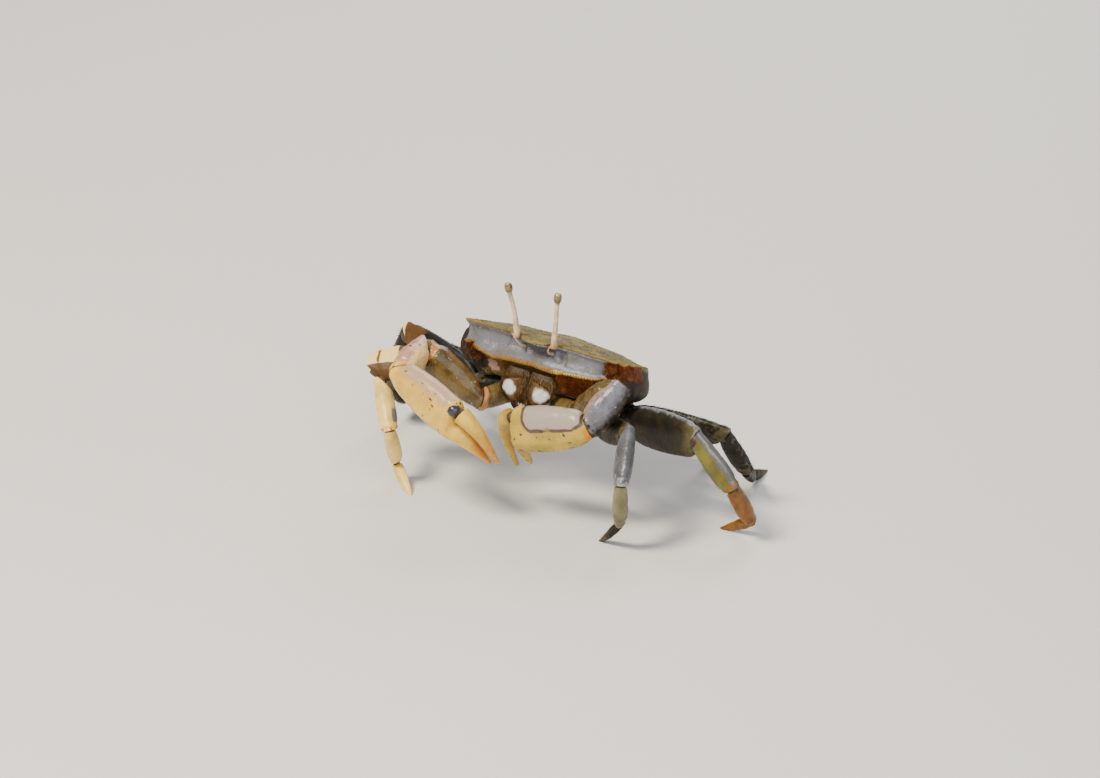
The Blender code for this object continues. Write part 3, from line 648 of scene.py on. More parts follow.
def segment(a, b, before, after, broad, profile, count=36, power=2.0, end_gap=GAP, corner=CORNER):
    """Rings from a to b, each square to the segment, cut short by the joint planes before and after. The
    profile lists (place, half breadth, half thickness, shift to the broad side). The first and the last ring
    reach past their joint by corner times the half breadth, and the planes cut them back; a segment without
    an end gap is a toe, which the floor cuts."""
    d = unit(b - a)
    length = np.linalg.norm(b - a)
    w = unit(np.cross(d, broad))
    u = np.cross(w, d)
    x, y = oval(count, power)
    rings = []
    for t, hb, ht, *shift in profile:
        off = np.outer(x * hb + sum(shift), u) + np.outer(y * ht, w)
        first = (0.5 * GAP - off @ before) / (d @ before)
        last = length - (0.5 * end_gap + off @ after) / (d @ after)
        mid = t * length
        if t == 0.0:
            mid = -corner[0] * hb
        if t == 1.0:
            mid = length + (corner[1] * hb if end_gap else UNDER_FLOOR)
        rings.append(a + off + np.outer(np.minimum(np.maximum(mid, first), last), d))
    return np.array(rings)


print("points of an oval:", len(oval(36, 2.0)[0]), "heading 90, 0:", np.round(heading(90.0, 0.0), 3))

# %% Sweeps and skins
def sweep(spine, broad, sizes, count=36, power=2.2):
    """Rings across a bent spine with (half breadth, half thickness) at each of its points. broad is the way
    of the breadth, or a function that gives it for a direction of the spine."""
    spine = np.asarray(spine, dtype=float)
    x, y = oval(count, power)
    rings = []
    for p, t, (hb, ht) in zip(spine, unit(np.gradient(spine, axis=0)), sizes):
        w = unit(np.cross(t, broad(t) if callable(broad) else broad))
        rings.append(p + np.outer(x * hb, np.cross(w, t)) + np.outer(y * ht, w))
    return np.array(rings)


def held_back(rings, joint, normal, along):
    """Rings with each point that would pass the joint's plane pushed along to half the gap ahead of it."""
    short = np.maximum(0.0, 0.5 * GAP - (rings - joint) @ normal) / (along @ normal)
    return rings + short[..., None] * along


def chain(start, lengths, angles):
    """Joints of a limb: each point is the one before plus the length along its azimuth and elevation."""
    points = [np.asarray(start, dtype=float)]
    for length, (azimuth, elevation) in zip(lengths, angles):
        points.append(points[-1] + length * heading(azimuth, elevation))
    return points


def limb_skin(stops, per=7, lip=0.16, keel=0.1, seed=0, rough=0.05, power=2.0):
    """A fine tube through the stops with a raised lip at its far end, a keel along both narrow edges and a
    gentle unevenness, and its masks: along from 0 to 1, top and out from -1 to 1 round the section."""
    rings = through(stops, per)
    n, m = rings.shape[:2]
    along = np.linspace(0.0, 1.0, n)[:, None]
    x, y = oval(m, power)
    amount = lip * bell(along, 0.93, 0.035) - 0.6 * lip * bell(along, 0.83, 0.05)
    amount = amount + keel * bell(np.abs(x), 1.0, 0.12) * np.sin(np.pi * np.clip(along, 0.0, 1.0)) ** 0.5
    amount = amount + rough * ripple(rings, 1.6, seed) + 0.5 * rough * ripple(rings, 0.6, seed + 50)
    ends = step(0.0, 0.04, along) * step(0.0, 0.04, 1.0 - along)
    rings = raised(rings, amount * ends)
    grid = np.ones((n, m))
    return rings, {"along": along * grid, "top": x * grid, "out": y * grid}


bent = chain((0.0, 0.0, 0.0), (1.0, 1.0), ((0.0, 0.0), (90.0, 0.0)))
print("joints of a chain with one bend:", np.round(bent, 2).tolist())

# %% [markdown]
# ## Finishes of the limbs
# Some segments are clean and show their own yellow, olive or orange, others wear a grey film of wet mud. One
# finish each is named for what lies on the shell or for the light and shade painted into it. Clean shell is
# smooth; wet mud is coarser but still shines; the dark legs are the dullest, and their near-black colour is
# painted shade. One of them has pale rims as painted highlights, and the knee of the right front leg has a
# painted sunlit top over a painted shaded underside.

# %% Limb finishes
# Near-black painted shade: the far legs are coloured as if they stood in shadow.
LEG_DARK = shell_finish("dark_leg_shell_painted_shade", "29241A", "16130E",
                        layers=(("along", 0.6, 0.95, "4C4228", 0.4), ("top", 0.9, 1.2, "55524C", 0.3)),
                        rough=0.45, relief_mm=0.1, coat=0.0, shine=0.25)
# Near-black painted shade with pale rims along the top edge and at the knee end as painted highlights.
LEG_DARK_LIT_EDGE = shell_finish("dark_leg_shell_with_painted_highlight_edge", "1A1814", "2C2618",
                       layers=(("along", 0.6, 0.9, "50482C", 0.4), ("top", 0.88, 1.05, "74787A", 0.25),
                               ("along", 0.93, 1.0, "6C6E6A", 0.25)),
                       rough=0.4, relief_mm=0.1, ragged=0.07, shine=0.3)
# On the right front leg the yellow cap on the top is painted sunlight and the brown underside painted shade.
LEG_KNEE = shell_finish("leg_shell_with_painted_sunlit_knee_and_shade", "1C1915", "15130F",
                        layers=(("under", 0.35, 0.7, "543A1A", 0.42), ("cap", 0.35, 0.65, "EED084", 0.3),
                                ("seam", 0.4, 0.8, "7A4C1A", 0.35)),
                        rough=0.42, relief_mm=0.06, ragged=0.15, coat=0.0, shine=0.3)
LEG_MUD = shell_finish("grey_wet_mud_on_leg", "66676A", "4A4B4D",
                       layers=(("along", 0.85, 1.05, "94908A", 0.3),), rough=0.3, relief_mm=0.12, coat=0.15)
LEG_PALE = shell_finish("pale_olive_leg_shell", "7C7650", "5E5A42", rough=0.3, relief_mm=0.08)
LEG_YELLOW = shell_finish("clean_yellow_leg_shell", "EECE78", "D8B050",
                          layers=(("spot", 0.35, 0.7, "6E6A62", 0.2), ("along", 0.93, 1.02, "A8662A", 0.35)),
                          rough=0.28, relief_mm=0.04, ragged=0.15)
LEG_OLIVE = shell_finish("olive_leg_shell", "6E6A28", "565220",
                         layers=(("top", 0.4, 0.8, "504E50", 0.4), ("along", 0.92, 1.04, "7A5220", 0.35)),
                         rough=0.35, relief_mm=0.1, ragged=0.25, shine=0.35)
LEG_ORANGE = shell_finish("orange_leg_shell", "80500C", "5A3808", rough=0.35, relief_mm=0.06, mottle_mm=1.6)
JOINT_SKIN = shell_finish("soft_joint_skin", "5A4230", "38291E", rough=0.45, relief_mm=0.05, coat=0.0)
LIMB_FINISHES = (LEG_DARK, LEG_DARK_LIT_EDGE, LEG_KNEE, LEG_MUD, LEG_PALE, LEG_YELLOW, LEG_OLIVE, LEG_ORANGE)
print("limb finishes:", [finish.name for finish in (*LIMB_FINISHES, JOINT_SKIN)])

# %% [markdown]
# ## Walking legs
# There are four pairs, numbered 2 to 5 because the claws are the first. Pairs 2 to 4 are long, with broad
# flat upper legs, and the last pair is small. The lengths and angles are those of the solids, and the toe
# segment takes the slope that brings it to the floor.

# %% Sizes of the walking legs
# Lengths in mm of hip, upper leg, wrist, shank and toe, by the number of the pair.
LEG_LENGTHS = {2: (4.5, 17.5, 10.5, 8.5, 7.5), 3: (4.5, 20.5, 12.0, 9.0, 7.5), 4: (4.5, 20.0, 11.0, 8.5, 7.0),
               5: (3.5, 11.0, 6.5, 5.5, 5.0)}
# How far from the body's middle a leg's hip segment starts.
LEG_ROOT_X = 7.4
HIPS = {2: (9.3, -3.2, -10.8), 3: (10.4, 1.0, -10.7), 4: (10.0, 5.0, -10.6), 5: (8.4, 8.6, -10.2)}
# Azimuth and elevation of each segment in degrees; the toe has only its azimuth.
LEG_ANGLES = {
    "2l": ((-22, -27), (-43, 17), (-69, -41), (125, -77), 156),
    "2r": ((-145, 5), (-161, -3), (-49, -38), (100, -66), -38),
    "3l": ((-4, -9), (-19, 6), (-21, -32), (75, -57), 168),
    "3r": ((-158, -14), (162, 11), (160, -66), (100, -38), 60),
    "4l": ((-1, 3), (-3, 0), (84, -54), (110, -29), 98),
    "4r": ((172, -10), (146, -8), (135, -28), (110, -20), 80),
    "5l": ((24, -16), (8, -7), (94, -31), (89, -65), 118),
    "5r": ((145, -14), (135, 1), (130, -54), (110, -64), 80),
}
# Half breadth and half thickness of upper leg, wrist, shank and toe, then the radii of the hip and the tip.
LEG_BREADTH = {2: (2.9, 2.3, 1.6, 0.95), 3: (3.9, 2.4, 1.8, 0.95), 4: (4.0, 2.0, 1.6, 0.9),
               5: (2.3, 1.3, 1.1, 0.7)}
LEG_THICKNESS = {2: (1.5, 1.6, 1.35, 0.7), 3: (1.5, 1.4, 1.2, 0.7), 4: (1.5, 1.4, 1.1, 0.7),
                 5: (1.1, 1.0, 0.8, 0.55)}
HIP_RADIUS = {2: 1.75, 3: 1.75, 4: 1.75, 5: 1.45}
TOE = 0.42
# Half breadths of the front legs, which the picture shows better than the others: the right upper leg is seen
# full from the side, the left one is narrower.
OWN_BREADTH = {"2r": (4.2, 1.7, 1.45, 0.95), "2l": (2.4, 2.3, 1.6, 0.95)}
# How far the right upper leg's middle line stands over the line from hip to knee, and its wrist's corners.
MERUS_LIFT = {"2r": 3.6}
CARPUS_CORNER = {"2r": (0.35, 1.1)}
# The widest that an upper leg may be where it meets the hip.
HIP_END = 3.1
# Finishes of the five segments of the legs that show colours of their own; the others are all dark, with
# their near-black colour as painted shade.
LEG_FINISH = {
    "2l": (LEG_DARK, LEG_DARK, LEG_MUD, LEG_PALE, LEG_DARK),
    "2r": (LEG_DARK, LEG_KNEE, LEG_YELLOW, LEG_YELLOW, LEG_YELLOW),
    "3l": (LEG_DARK, LEG_DARK_LIT_EDGE, LEG_OLIVE, LEG_ORANGE, LEG_ORANGE),
    "3r": (LEG_DARK, LEG_KNEE, LEG_DARK, LEG_DARK, LEG_DARK),
}
print("legs:", sorted(LEG_ANGLES))

# %% [markdown]
# Each leg is five segments. The broad side of a leg lies in the plane in which its knee bends, with the top
# edge on the outside of the bend: that is where real ones carry their grains and their fringe of hair.

# %% Joints of a leg
def joined(root, points):
    """Directions of a limb's segments, the planes that halve its joints and the plane at its hip."""
    dirs = [unit(q - p) for p, q in zip(points[:-1], points[1:])]
    joints = [unit(p + q) for p, q in zip(dirs[:-1], dirs[1:])]
    start = unit(points[0] - root)
    return dirs, joints, start, unit(start + dirs[0])


def leg_points(key):
    """Root of a leg in the body, its joints down to the toe and its broad direction. The toe's slope is the
    arcsine of the last joint's height over the toe's length, which brings the tip to the floor."""
    rank, sign = int(key[0]), 1.0 if key[1] == "l" else -1.0
    hip = np.array(HIPS[rank]) * (sign, 1.0, 1.0)
    root = to_room(hip - (sign * (abs(hip[0]) - LEG_ROOT_X), 0.0, 0.15))
    lengths, angles = LEG_LENGTHS[rank], LEG_ANGLES[key]
    points = chain(to_room(hip), lengths[:4], angles[:4])
    fall = -np.degrees(np.arcsin(points[-1][2] / lengths[4]))
    points.append(points[-1] + lengths[4] * heading(angles[4], fall))
    dirs = [unit(q - p) for p, q in zip(points[:3], points[1:])]
    broad = np.cross(unit(np.cross(dirs[1], dirs[2])), dirs[1])
    return root, points, broad * np.sign(broad @ (dirs[1] - dirs[2]))


leg = leg_points("2r")
print("right front toe in mm:", np.round(leg[1][-1], 1))

# %% Rings of a leg
def leg_stops(key, root, points, broad):
    """Coarse rings of a leg's five segments, and its joints with the radii of their skins. The profiles list
    (place, half breadth, half thickness, lift); from one segment to the next the sizes nearly agree."""
    rank = int(key[0])
    mb, cb, pb, db = OWN_BREADTH.get(key, LEG_BREADTH[rank])
    mt, ct, pt, dt = LEG_THICKNESS[rank]
    lift = MERUS_LIFT.get(key, 0.0)
    thick = HIP_RADIUS[rank]
    dirs, joints, start, bend = joined(root, points)
    hip = ((0.0, thick, thick), (0.55, thick * 0.95, thick * 0.9), (1.0, min(mb, HIP_END) * 0.62, mt * 0.85))
    profiles = {
        "merus": ((0.0, min(mb, HIP_END) * 0.55, mt * 0.8), (0.2, mb * 0.85, mt), (0.5, mb, mt, lift * 0.4),
                  (0.8, mb * 0.92, mt * 0.95, lift * 0.95), (0.94, mb * 0.8, ct, lift),
                  (1.0, mb * 0.6, ct * 0.85, lift * 0.8)),
        "carpus": ((0.0, cb * 0.85, ct * 0.8), (0.3, cb * 0.95, ct), (0.75, cb, ct),
                   (1.0, pb * 0.95, pt * 0.95)),
        "propodus": ((0.0, pb * 0.9, pt * 0.85), (0.35, pb, pt), (0.75, pb * 0.92, pt),
                     (1.0, db * 1.1, dt * 1.05)),
        "dactylus": ((0.0, db * 0.9, dt * 0.9), (0.3, db, dt), (0.65, db * 0.8, dt * 0.8), (1.0, TOE, TOE)),
    }
    stops = {"coxa": np.concatenate((segment(root, points[0], start, bend, UP, hip[:1]),
                                     segment(points[0], points[1], bend, joints[0], UP, hip)))}
    for i, (name, profile) in enumerate(profiles.items()):
        after, end_gap = (-UP, 0.0) if name == "dactylus" else (joints[i + 1], GAP)
        corner = CARPUS_CORNER.get(key, CORNER) if name == "carpus" else CORNER
        stops[name] = segment(points[i + 1], points[i + 2], joints[i], after, broad, profile,
                              end_gap=end_gap, corner=corner)
    return stops, tuple(zip(points, (thick * 0.9, mb * 0.5, cb * 0.8, pb * 0.8, db * 0.85)))


def colour_marks(key, name, finish, marks):
    """The masks of a segment with those that only its own finish reads: the knee's yellow cap with a brown
    seam and a brown underside, or the grey spot on the wrist. On the right front leg the cap lies on the top
    as painted sunlight and the brown underside is painted shade."""
    run, top = marks["along"], marks["top"]
    if finish is LEG_KNEE:
        # The right front leg's cap on its top is painted sunlight; its brown underside is painted shade.
        cap = step(0.6, 0.72, run) * step(-0.25, 0.05, top) if key == "2r" else step(0.9, 0.95, run)
        marks |= {"cap": cap, "under": step(0.45, 0.7, run), "seam": bell(run, 0.9, 0.02) * cap}
    if finish is LEG_YELLOW:
        marks["spot"] = bell(run, 0.7, 0.16) * step(0.35, 0.75, top) * (name == "carpus")
    return marks


print("segments of a leg:", list(leg_stops("2r", *leg)[0]))

# %% Build the walking legs
joint_places = []
fringes = []
for key in sorted(LEG_ANGLES):
    root, points, broad = leg_points(key)
    stops, ends = leg_stops(key, root, points, broad)
    finishes = LEG_FINISH.get(key, (LEG_DARK,) * 5)
    for i, ((name, rings), finish) in enumerate(zip(stops.items(), finishes)):
        lip = 0.0 if name == "dactylus" else 0.14
        skin, marks = limb_skin(rings, per=8, lip=lip, keel=0.1, seed=int(key[0]) * 7 + i)
        # The floor cuts the toes off flat.
        skin[..., 2] = np.maximum(skin[..., 2], 0.0)
        marks = colour_marks(key, name, finish, marks)
        dress(f"leg{key}_{name}", skin, marks, finish)
        # Hair stands on the dark middle segments of all legs but the front pair.
        if name in ("merus", "carpus", "propodus") and finish is LEG_DARK and int(key[0]) > 2:
            fringes.append((skin, np.linalg.norm(points[i + 1] - points[i])))
    joint_places += ends
print("fringed segments:", len(fringes), "joints so far:", len(joint_places))

# %% [markdown]
# ## Claws
# A male's claws are long: the hand with its fixed finger is longer than the shell is deep, and both fingers
# are bent and end in blunt tips. The hand and its fixed finger are one plate; the other finger hinges on it.
# Two separate tubes would leave a seam across the hand, so one skin runs from the wrist to the finger's
# tip, and the direction of its top is carried round with the bend.

# %% Sizes of the claws
CLAW_ROOT = (4.7, -6.2, -11.4)
CLAW_HIP = (5.6, -7.0, -11.2)
# Lengths in mm of hip, arm, wrist, hand and finger, corners as above, and azimuths and elevations.
CLAW_LENGTHS = (5.7, 14.0, 8.4, 17.0, 11.0)
CLAW_CORNER = {"merus": (0.45, 0.3), "carpus": (0.7, 0.5), "palm": (0.5, 0.5)}
CLAW_ANGLES = {
    "l": ((-23, 8), (-21, 34.5), (-121, -46), (-180, -12.5), (110, -59)),
    "r": ((-115, -1), (-171.5, 36.5), (-91, -13.5), (-16.5, -19.5), (60, -50.5)),
}
# Half the height and half the thickness of the hand.
PALM_HEIGHT = 4.3
PALM_THICKNESS = 2.6
# The plane in which the fingers bend leans from the hand's own height by this angle.
FINGER_TURN = 40.0
# How far the left claw's fingers are drawn back to the wrist, and how much further its fixed finger is.
FINGER_BACK = {"l": (0.7, 2.2), "r": (0.0, 0.0)}
# Height of the lower edge of the lilac stain on the hand and its end along the hand, then how soft it is.
STAIN = {"l": (0.03, 12.8, 0.12), "r": (0.62, 14.5, 1.1)}
# How far to the outside a hinge's knuckle stands, its radius and its two colours.
KNUCKLE = {"l": (-0.9, 0.75, ("A8682C", "6A401C")), "r": (0.8, 1.25, ("4C4A52", "2E2C32"))}
print("hand and finger in mm:", CLAW_LENGTHS[3:])

# %% [markdown]
# The arm is wet olive shell with a rusty top edge, and glossy, so it reads as wet. The left wrist wears grey
# mud, with painted shade darkening its underside; the right one is clean and pink with a cream underside. The
# hands are yellow with a lilac stain, and the thin clear coat on them gives the eye the soft sheen of damp
# shell.

# %% Finishes of the claws
CLAW_ARM = shell_finish("glossy_olive_claw_arm", "64522C", "463719",
                        layers=(("top", 0.93, 1.15, "7A4A20", 0.25), ("blush", 0.4, 0.75, "AC7440", 0.2)),
                        rough=0.22, relief_mm=0.12, coat=0.25, ragged=0.2)
CLAW_WRIST = {
    "l": shell_finish("wet_mud_on_claw_wrist_with_painted_shade_side", "68686C", "4A4A4C",
                      # The dark brown on the wrist's underside is painted shade.
                      layers=(("top", 0.72, 1.05, "98786A", 0.28), ("top", -0.1, -0.65, "2A1E14", 0.3),
                              ("along", 0.92, 1.0, "2A1C10", 0.3)),
                      rough=0.22, relief_mm=0.12, coat=0.25, ragged=0.2),
    "r": shell_finish("pink_claw_wrist_shell", "BC8A72", "9C7064",
                      layers=(("out", -0.05, -0.45, "E0BE78", 0.25), ("along", 0.88, 0.98, "D8A848", 0.3),
                              ("spots", 0.6, 0.8, "4A3424", 0.3)),
                      rough=0.28, relief_mm=0.06, coat=0.15, ragged=0.2),
}
HAND_LAYERS = (("lilac", 0.35, 0.65, "9C9080", 0.32), ("line", 0.3, 0.65, "54443A", 0.35),
               ("spots", 0.5, 0.7, "4A3828", 0.3), ("tip", 0.15, 0.9, "C47808", 0.28))
CLAW_HAND = {
    "l": shell_finish("yellow_claw_hand_shell", "C0A040", "A08838", layers=HAND_LAYERS,
                      rough=0.28, mottle_mm=4.0, relief_mm=0.05, ragged=0.1, ragged_mm=0.8),
    "r": shell_finish("bright_yellow_claw_hand_shell", "E6BC48", "CCA03A",
                      layers=(("lilac", 0.0, 1.0, "AE8E70", 0.34),) + HAND_LAYERS[2:],
                      rough=0.3, mottle_mm=4.0, relief_mm=0.05, ragged=0.2, ragged_mm=0.8),
}
print("claw finishes:", [finish.name for finish in (CLAW_ARM, *CLAW_WRIST.values(), *CLAW_HAND.values())])

# %% [markdown]
# The upper part of the hand's face is stained lilac, the rest is yellow, and the finger tips are orange. The
# left hand's stain has a crisp edge with a dark line along it, the right one's fades. A few dark flecks lie
# on both. These are masks again: the stain is a rounded patch, and the line is a bell curve of the distance
# to the patch's edge, so that it turns the corner with it.

# %% Masks of the hand
def patch(across, along, radius, soft):
    """Rounded patch, 1 inside and 0 outside. across and along say how far inside its two edges a point is, in
    mm; the corner is round with the radius given. Also returns the distance inside, for a line round it."""
    inside = radius - np.hypot(np.maximum(radius - across, 0.0), np.maximum(radius - along, 0.0))
    return step(-soft, soft, inside), inside


def hand_masks(side, along_mm, top, out, rings, edge):
    """Stain on the upper part and the line round it, flecks, and tips that grow orange towards the edge."""
    low, end, soft = STAIN[side]
    wave = top - low - 0.05 * ripple(rings, 3.0, 21)
    stain, inside = patch(wave * 3.2, np.minimum(end - along_mm, along_mm - 0.9), 1.9, soft)
    flecks = step(0.22, 0.42, ripple(rings, 0.9, 33) * ripple(rings, 2.1, 34))
    flecks = flecks * (1.0 - step(15.0, 18.0, along_mm))
    tip = step(17.5, 25.0, along_mm) * (0.6 + 0.4 * edge) * (1.0 if side == "r" else 0.4)
    tip = np.maximum(tip, 0.8 * bell(along_mm, 0.7, 0.5) * step(0.4, -0.1, top) * (side == "l"))
    return {"lilac": stain, "line": bell(inside, 0.0, 0.3), "spots": flecks * (1.0 - stain * (side == "l")),
            "tip": tip, "top": top * np.ones_like(along_mm), "out": out * np.ones_like(along_mm)}


print("a patch 2 mm inside both of its edges:", round(float(patch(2.0, 2.0, 1.9, 0.12)[0]), 2))

# %% [markdown]
# The hip and the arm of a claw are tubes between joint planes, like the segments of a leg. Only the arm is
# thicker and more square, with a power of 2.3 in its superellipse.

# %% Hip and arm
CLAW_POWER = 2.3
# Points round a ring of a claw and of its hand, which is larger.
CLAW_COUNT = 44
PALM_COUNT = 60
# Beads of water on the shell and on each claw's arm and wrist, and the places of the claws that carry them.
BEADS = {"shell": 16, "merus": 26, "carpus": 14}
wet_limbs = []


def claw_arm(side, root, points):
    """Skins of the hip and the arm, from stops at a few places along each."""
    dirs, joints, start, bend = joined(root, points)
    hip = ((0.0, 1.95, 1.9), (0.5, 2.05, 1.9), (1.0, 1.9, 1.7))
    stops = np.concatenate((segment(root, points[0], start, bend, UP, ((0.0, 1.7, 1.7),)),
                            segment(points[0], points[1], bend, joints[0], UP, hip)))
    skin, marks = limb_skin(stops, per=8, lip=0.15, keel=0.05, seed=61)
    marks["blush"] = step(0.78, 0.98, marks["along"]) * (side == "r")
    dress(f"claw_{side}_ischium", skin, marks, CLAW_ARM)
    arm = ((0.0, 1.7, 1.6), (0.2, 2.4, 2.0), (0.5, 2.9, 2.3), (0.8, 2.9, 2.4), (1.0, 1.8, 1.8))
    stops = segment(points[1], points[2], joints[0], joints[1], UP, arm, CLAW_COUNT, CLAW_POWER,
                    corner=CLAW_CORNER["merus"])
    skin, marks = limb_skin(stops, per=10, lip=0.22, keel=0.12, seed=62, rough=0.09, power=CLAW_POWER)
    marks["blush"] = bell(marks["along"], 0.86, 0.09) * step(-0.1, 0.3, marks["top"])
    marks["blush"] = marks["blush"] * step(0.5, -0.2, marks["out"])
    dress(f"claw_{side}_merus", skin, marks, CLAW_ARM)
    wet_limbs.append((skin, marks["out"] < 0.0, BEADS["merus"]))


print("beads planned:", BEADS["shell"] + 2 * (BEADS["merus"] + BEADS["carpus"]))

# %% [markdown]
# The wrist, the hand and the finger share one frame: along the hand, its top, and its outside. The plane of
# the finger's bend is turned out of the hand's own height by a fixed angle, so both directions come from the
# directions of hand and finger by sine and cosine of that angle.

# %% Frame of the hand
class Hand:
    """Directions of one claw's hand: p along it, f along its finger, turn the part of f that is square to p,
    across square to both. top and outside are the opposites of those two, rotated round p by FINGER_TURN."""

    def __init__(self, sign, points):
        """Works them out from the joints of the claw: points 3 to 5 are the hand's start, hinge and tip."""
        self.start, self.end = points[3], points[5]
        self.p, self.f = unit(points[4] - points[3]), unit(points[5] - points[4])
        self.turn = unit(self.f - (self.f @ self.p) * self.p)
        self.across = -sign * np.cross(self.p, self.turn)
        a = np.radians(FINGER_TURN)
        self.top = unit(-np.cos(a) * self.turn + np.sin(a) * self.across)
        self.outside = unit(-np.sin(a) * self.turn - np.cos(a) * self.across)

    def place(self, along, high, side_out=0.0):
        """The point that lies along, high and side_out from the start of the hand, in mm."""
        return self.start + self.p * along + self.top * high + self.outside * side_out

    def carried(self, t):
        """The top direction turned with the finger: the palm's own top rotated by the finger's bend."""
        a = np.radians(FINGER_TURN)
        bent = np.arctan2(t @ self.turn, t @ self.p)
        return np.cos(a) * (np.sin(bent) * self.p - np.cos(bent) * self.turn) + np.sin(a) * self.across


def finger(hand, stops, sizes, count):
    """Rings along a quadratic curve whose three control points are the stops, one ring for each size."""
    t = np.linspace(0.0, 1.0, len(sizes))[:, None]
    curve = (1 - t) ** 2 * stops[0] + 2 * t * (1 - t) * stops[1] + t**2 * stops[2]
    return sweep(curve, hand.carried, sizes, count, CLAW_POWER)


print("frame of the hand ready, finger turned by", FINGER_TURN, "degrees")

# %% Wrist and hand
HAND_RINGS = 9
# Places of the stops along the hand in mm: the palm, then the fixed finger.
PALM_STATIONS = (0.5, 1.8, 4.6, 8.6, 12.4, 15.3)
FIXED_FINGER_STATIONS = (15.5, 17.5, 19.5, 21.8, 24.2, 26.6)


def claw_wrist(side, points, joints, hand):
    """Skin of the wrist, between the planes of its two joints, with its top towards the hand's top."""
    wrist = ((0.0, 2.1, 1.9), (0.22, 2.6, 2.4), (0.5, 2.9, 2.6), (0.8, 2.6, 2.3), (1.0, 1.8, 1.7))
    stops = segment(points[2], points[3], joints[1], joints[2], hand.top, wrist, CLAW_COUNT, CLAW_POWER,
                    corner=CLAW_CORNER["carpus"])
    skin, marks = limb_skin(stops, per=10, lip=0.2, keel=0.1, seed=63, rough=0.08, power=CLAW_POWER)
    marks["spots"] = step(0.25, 0.5, ripple(skin, 1.2, 35) * ripple(skin, 2.1, 36))
    wet_limbs.append((skin, marks["out"] < 0.3, BEADS["carpus"]))
    dress(f"claw_{side}_carpus", skin, marks, CLAW_WRIST[side])


def claw_palm(side, points, joint, hand):
    """Skin of the hand and its fixed finger: an oval that swells over the palm and then follows the curve of
    the finger, with a keel along the lower edge."""
    h, w = PALM_HEIGHT, PALM_THICKNESS
    middle = (0.0, 0.0, 0.0, 0.0, 0.0, -0.1)
    sizes = ((2.0, 1.8), (3.1, 2.3), (h * 0.88, w * 0.94), (h * 0.99, w), (h, w * 0.96), (h * 0.93, w * 0.85))
    spine = [hand.place(along, high) for along, high in zip(PALM_STATIONS, middle)]
    rings = sweep(spine, hand.top, sizes, PALM_COUNT, CLAW_POWER)
    end = points[3] + hand.p * CLAW_LENGTHS[3]
    rings[0] = segment(points[3], end, joint, hand.p, hand.top, ((0.0, 1.8, 1.7),), PALM_COUNT, CLAW_POWER,
                       corner=CLAW_CORNER["palm"])[0]
    rings = held_back(rings, points[3], joint, hand.p)
    back, stub = FINGER_BACK[side]
    tip = hand.end - hand.carried(hand.f) * 0.75 - hand.f * (0.3 + stub * 0.8) - hand.p * (back + stub)
    low = (hand.place(15.5 - stub * 0.3, -1.9), hand.place(19.0 - back - stub, -2.0, -0.4), tip)
    sizes = ((2.1, 1.8), (1.75, 1.55), (1.4 + stub * 0.15, 1.3), (1.1 + stub * 0.2, 1.05),
             (0.8 + stub * 0.2, 0.8), (0.4 + stub * 0.15, 0.4))
    rings = np.concatenate((rings, finger(hand, low, sizes, PALM_COUNT)))
    x, y = oval(PALM_COUNT, CLAW_POWER)
    skin = through(rings, HAND_RINGS)
    stations = PALM_STATIONS + FIXED_FINGER_STATIONS
    along_mm = np.interp(np.arange(len(skin)) / HAND_RINGS, np.arange(len(stations)), stations)[:, None]
    marks = hand_masks(side, along_mm, x, y, skin, step(0.0, 0.9, x))
    keel = 0.1 * bell(x, -0.55, 0.12) * step(2.0, 5.0, along_mm) * (1.0 - step(22.0, 25.0, along_mm))
    skin = raised(skin, 0.05 * ripple(skin, 2.2, 71) + keel)
    dress(f"claw_{side}_palm", skin, marks, CLAW_HAND[side])


print("stations of the palm in mm:", PALM_STATIONS)

# %% Movable finger and both claws
def claw_finger(side, hand):
    """Skin of the finger that hinges on the hand, a tapered oval along a curve over the fixed one."""
    back = FINGER_BACK[side][0]
    tip = hand.end + hand.carried(hand.f) * 0.65 + hand.f * 0.3 - hand.p * back
    high = (hand.place(16.6, 2.35), hand.place(20.9 - back, 1.9, -0.4), tip)
    sizes = ((1.75, 1.6), (1.6, 1.45), (1.32, 1.22), (1.05, 1.0), (0.76, 0.75), (0.38, 0.38))
    x, y = oval(CLAW_COUNT, CLAW_POWER)
    skin = through(finger(hand, high, sizes, CLAW_COUNT), HAND_RINGS)
    along_mm = np.linspace(16.9, 27.5, len(skin))[:, None]
    marks = hand_masks(side, along_mm, x, y, skin, step(0.0, -0.9, x))
    skin = raised(skin, 0.03 * ripple(skin, 1.6, 72))
    dress(f"claw_{side}_dactylus", skin, marks, CLAW_HAND[side])


knuckle_places = {}
for side, sign in (("l", 1.0), ("r", -1.0)):
    root = on_side(CLAW_ROOT, sign)
    points = chain(on_side(CLAW_HIP, sign), CLAW_LENGTHS, CLAW_ANGLES[side])
    joints = joined(root, points)[1]
    hand = Hand(sign, points)
    claw_arm(side, root, points)
    claw_wrist(side, points, joints, hand)
    claw_palm(side, points, joints[2], hand)
    claw_finger(side, hand)
    joint_places += zip(points[:4], (1.7, 1.6, 1.9, 1.9))
    joint_places.append((hand.place(16.2, 2.2), 1.5))
    knuckle_places[side] = hand.place(15.4, 2.75, KNUCKLE[side][0])
print("joints in all:", len(joint_places), "hinge knuckles:", len(knuckle_places))

# %% [markdown]
# ## Skin of the joints
# Between two plates a soft folded skin bridges the gap. A sheet stretched from rim to rim could show its
# folds, but almost all of it is hidden, so a small rounded body fills each joint, and all of them are one
# object. At the hinge of each claw's finger a rounded knuckle shows. It is the wettest place of the claw: a
# thick clear coat with hardly any roughness gives it one bright highlight.

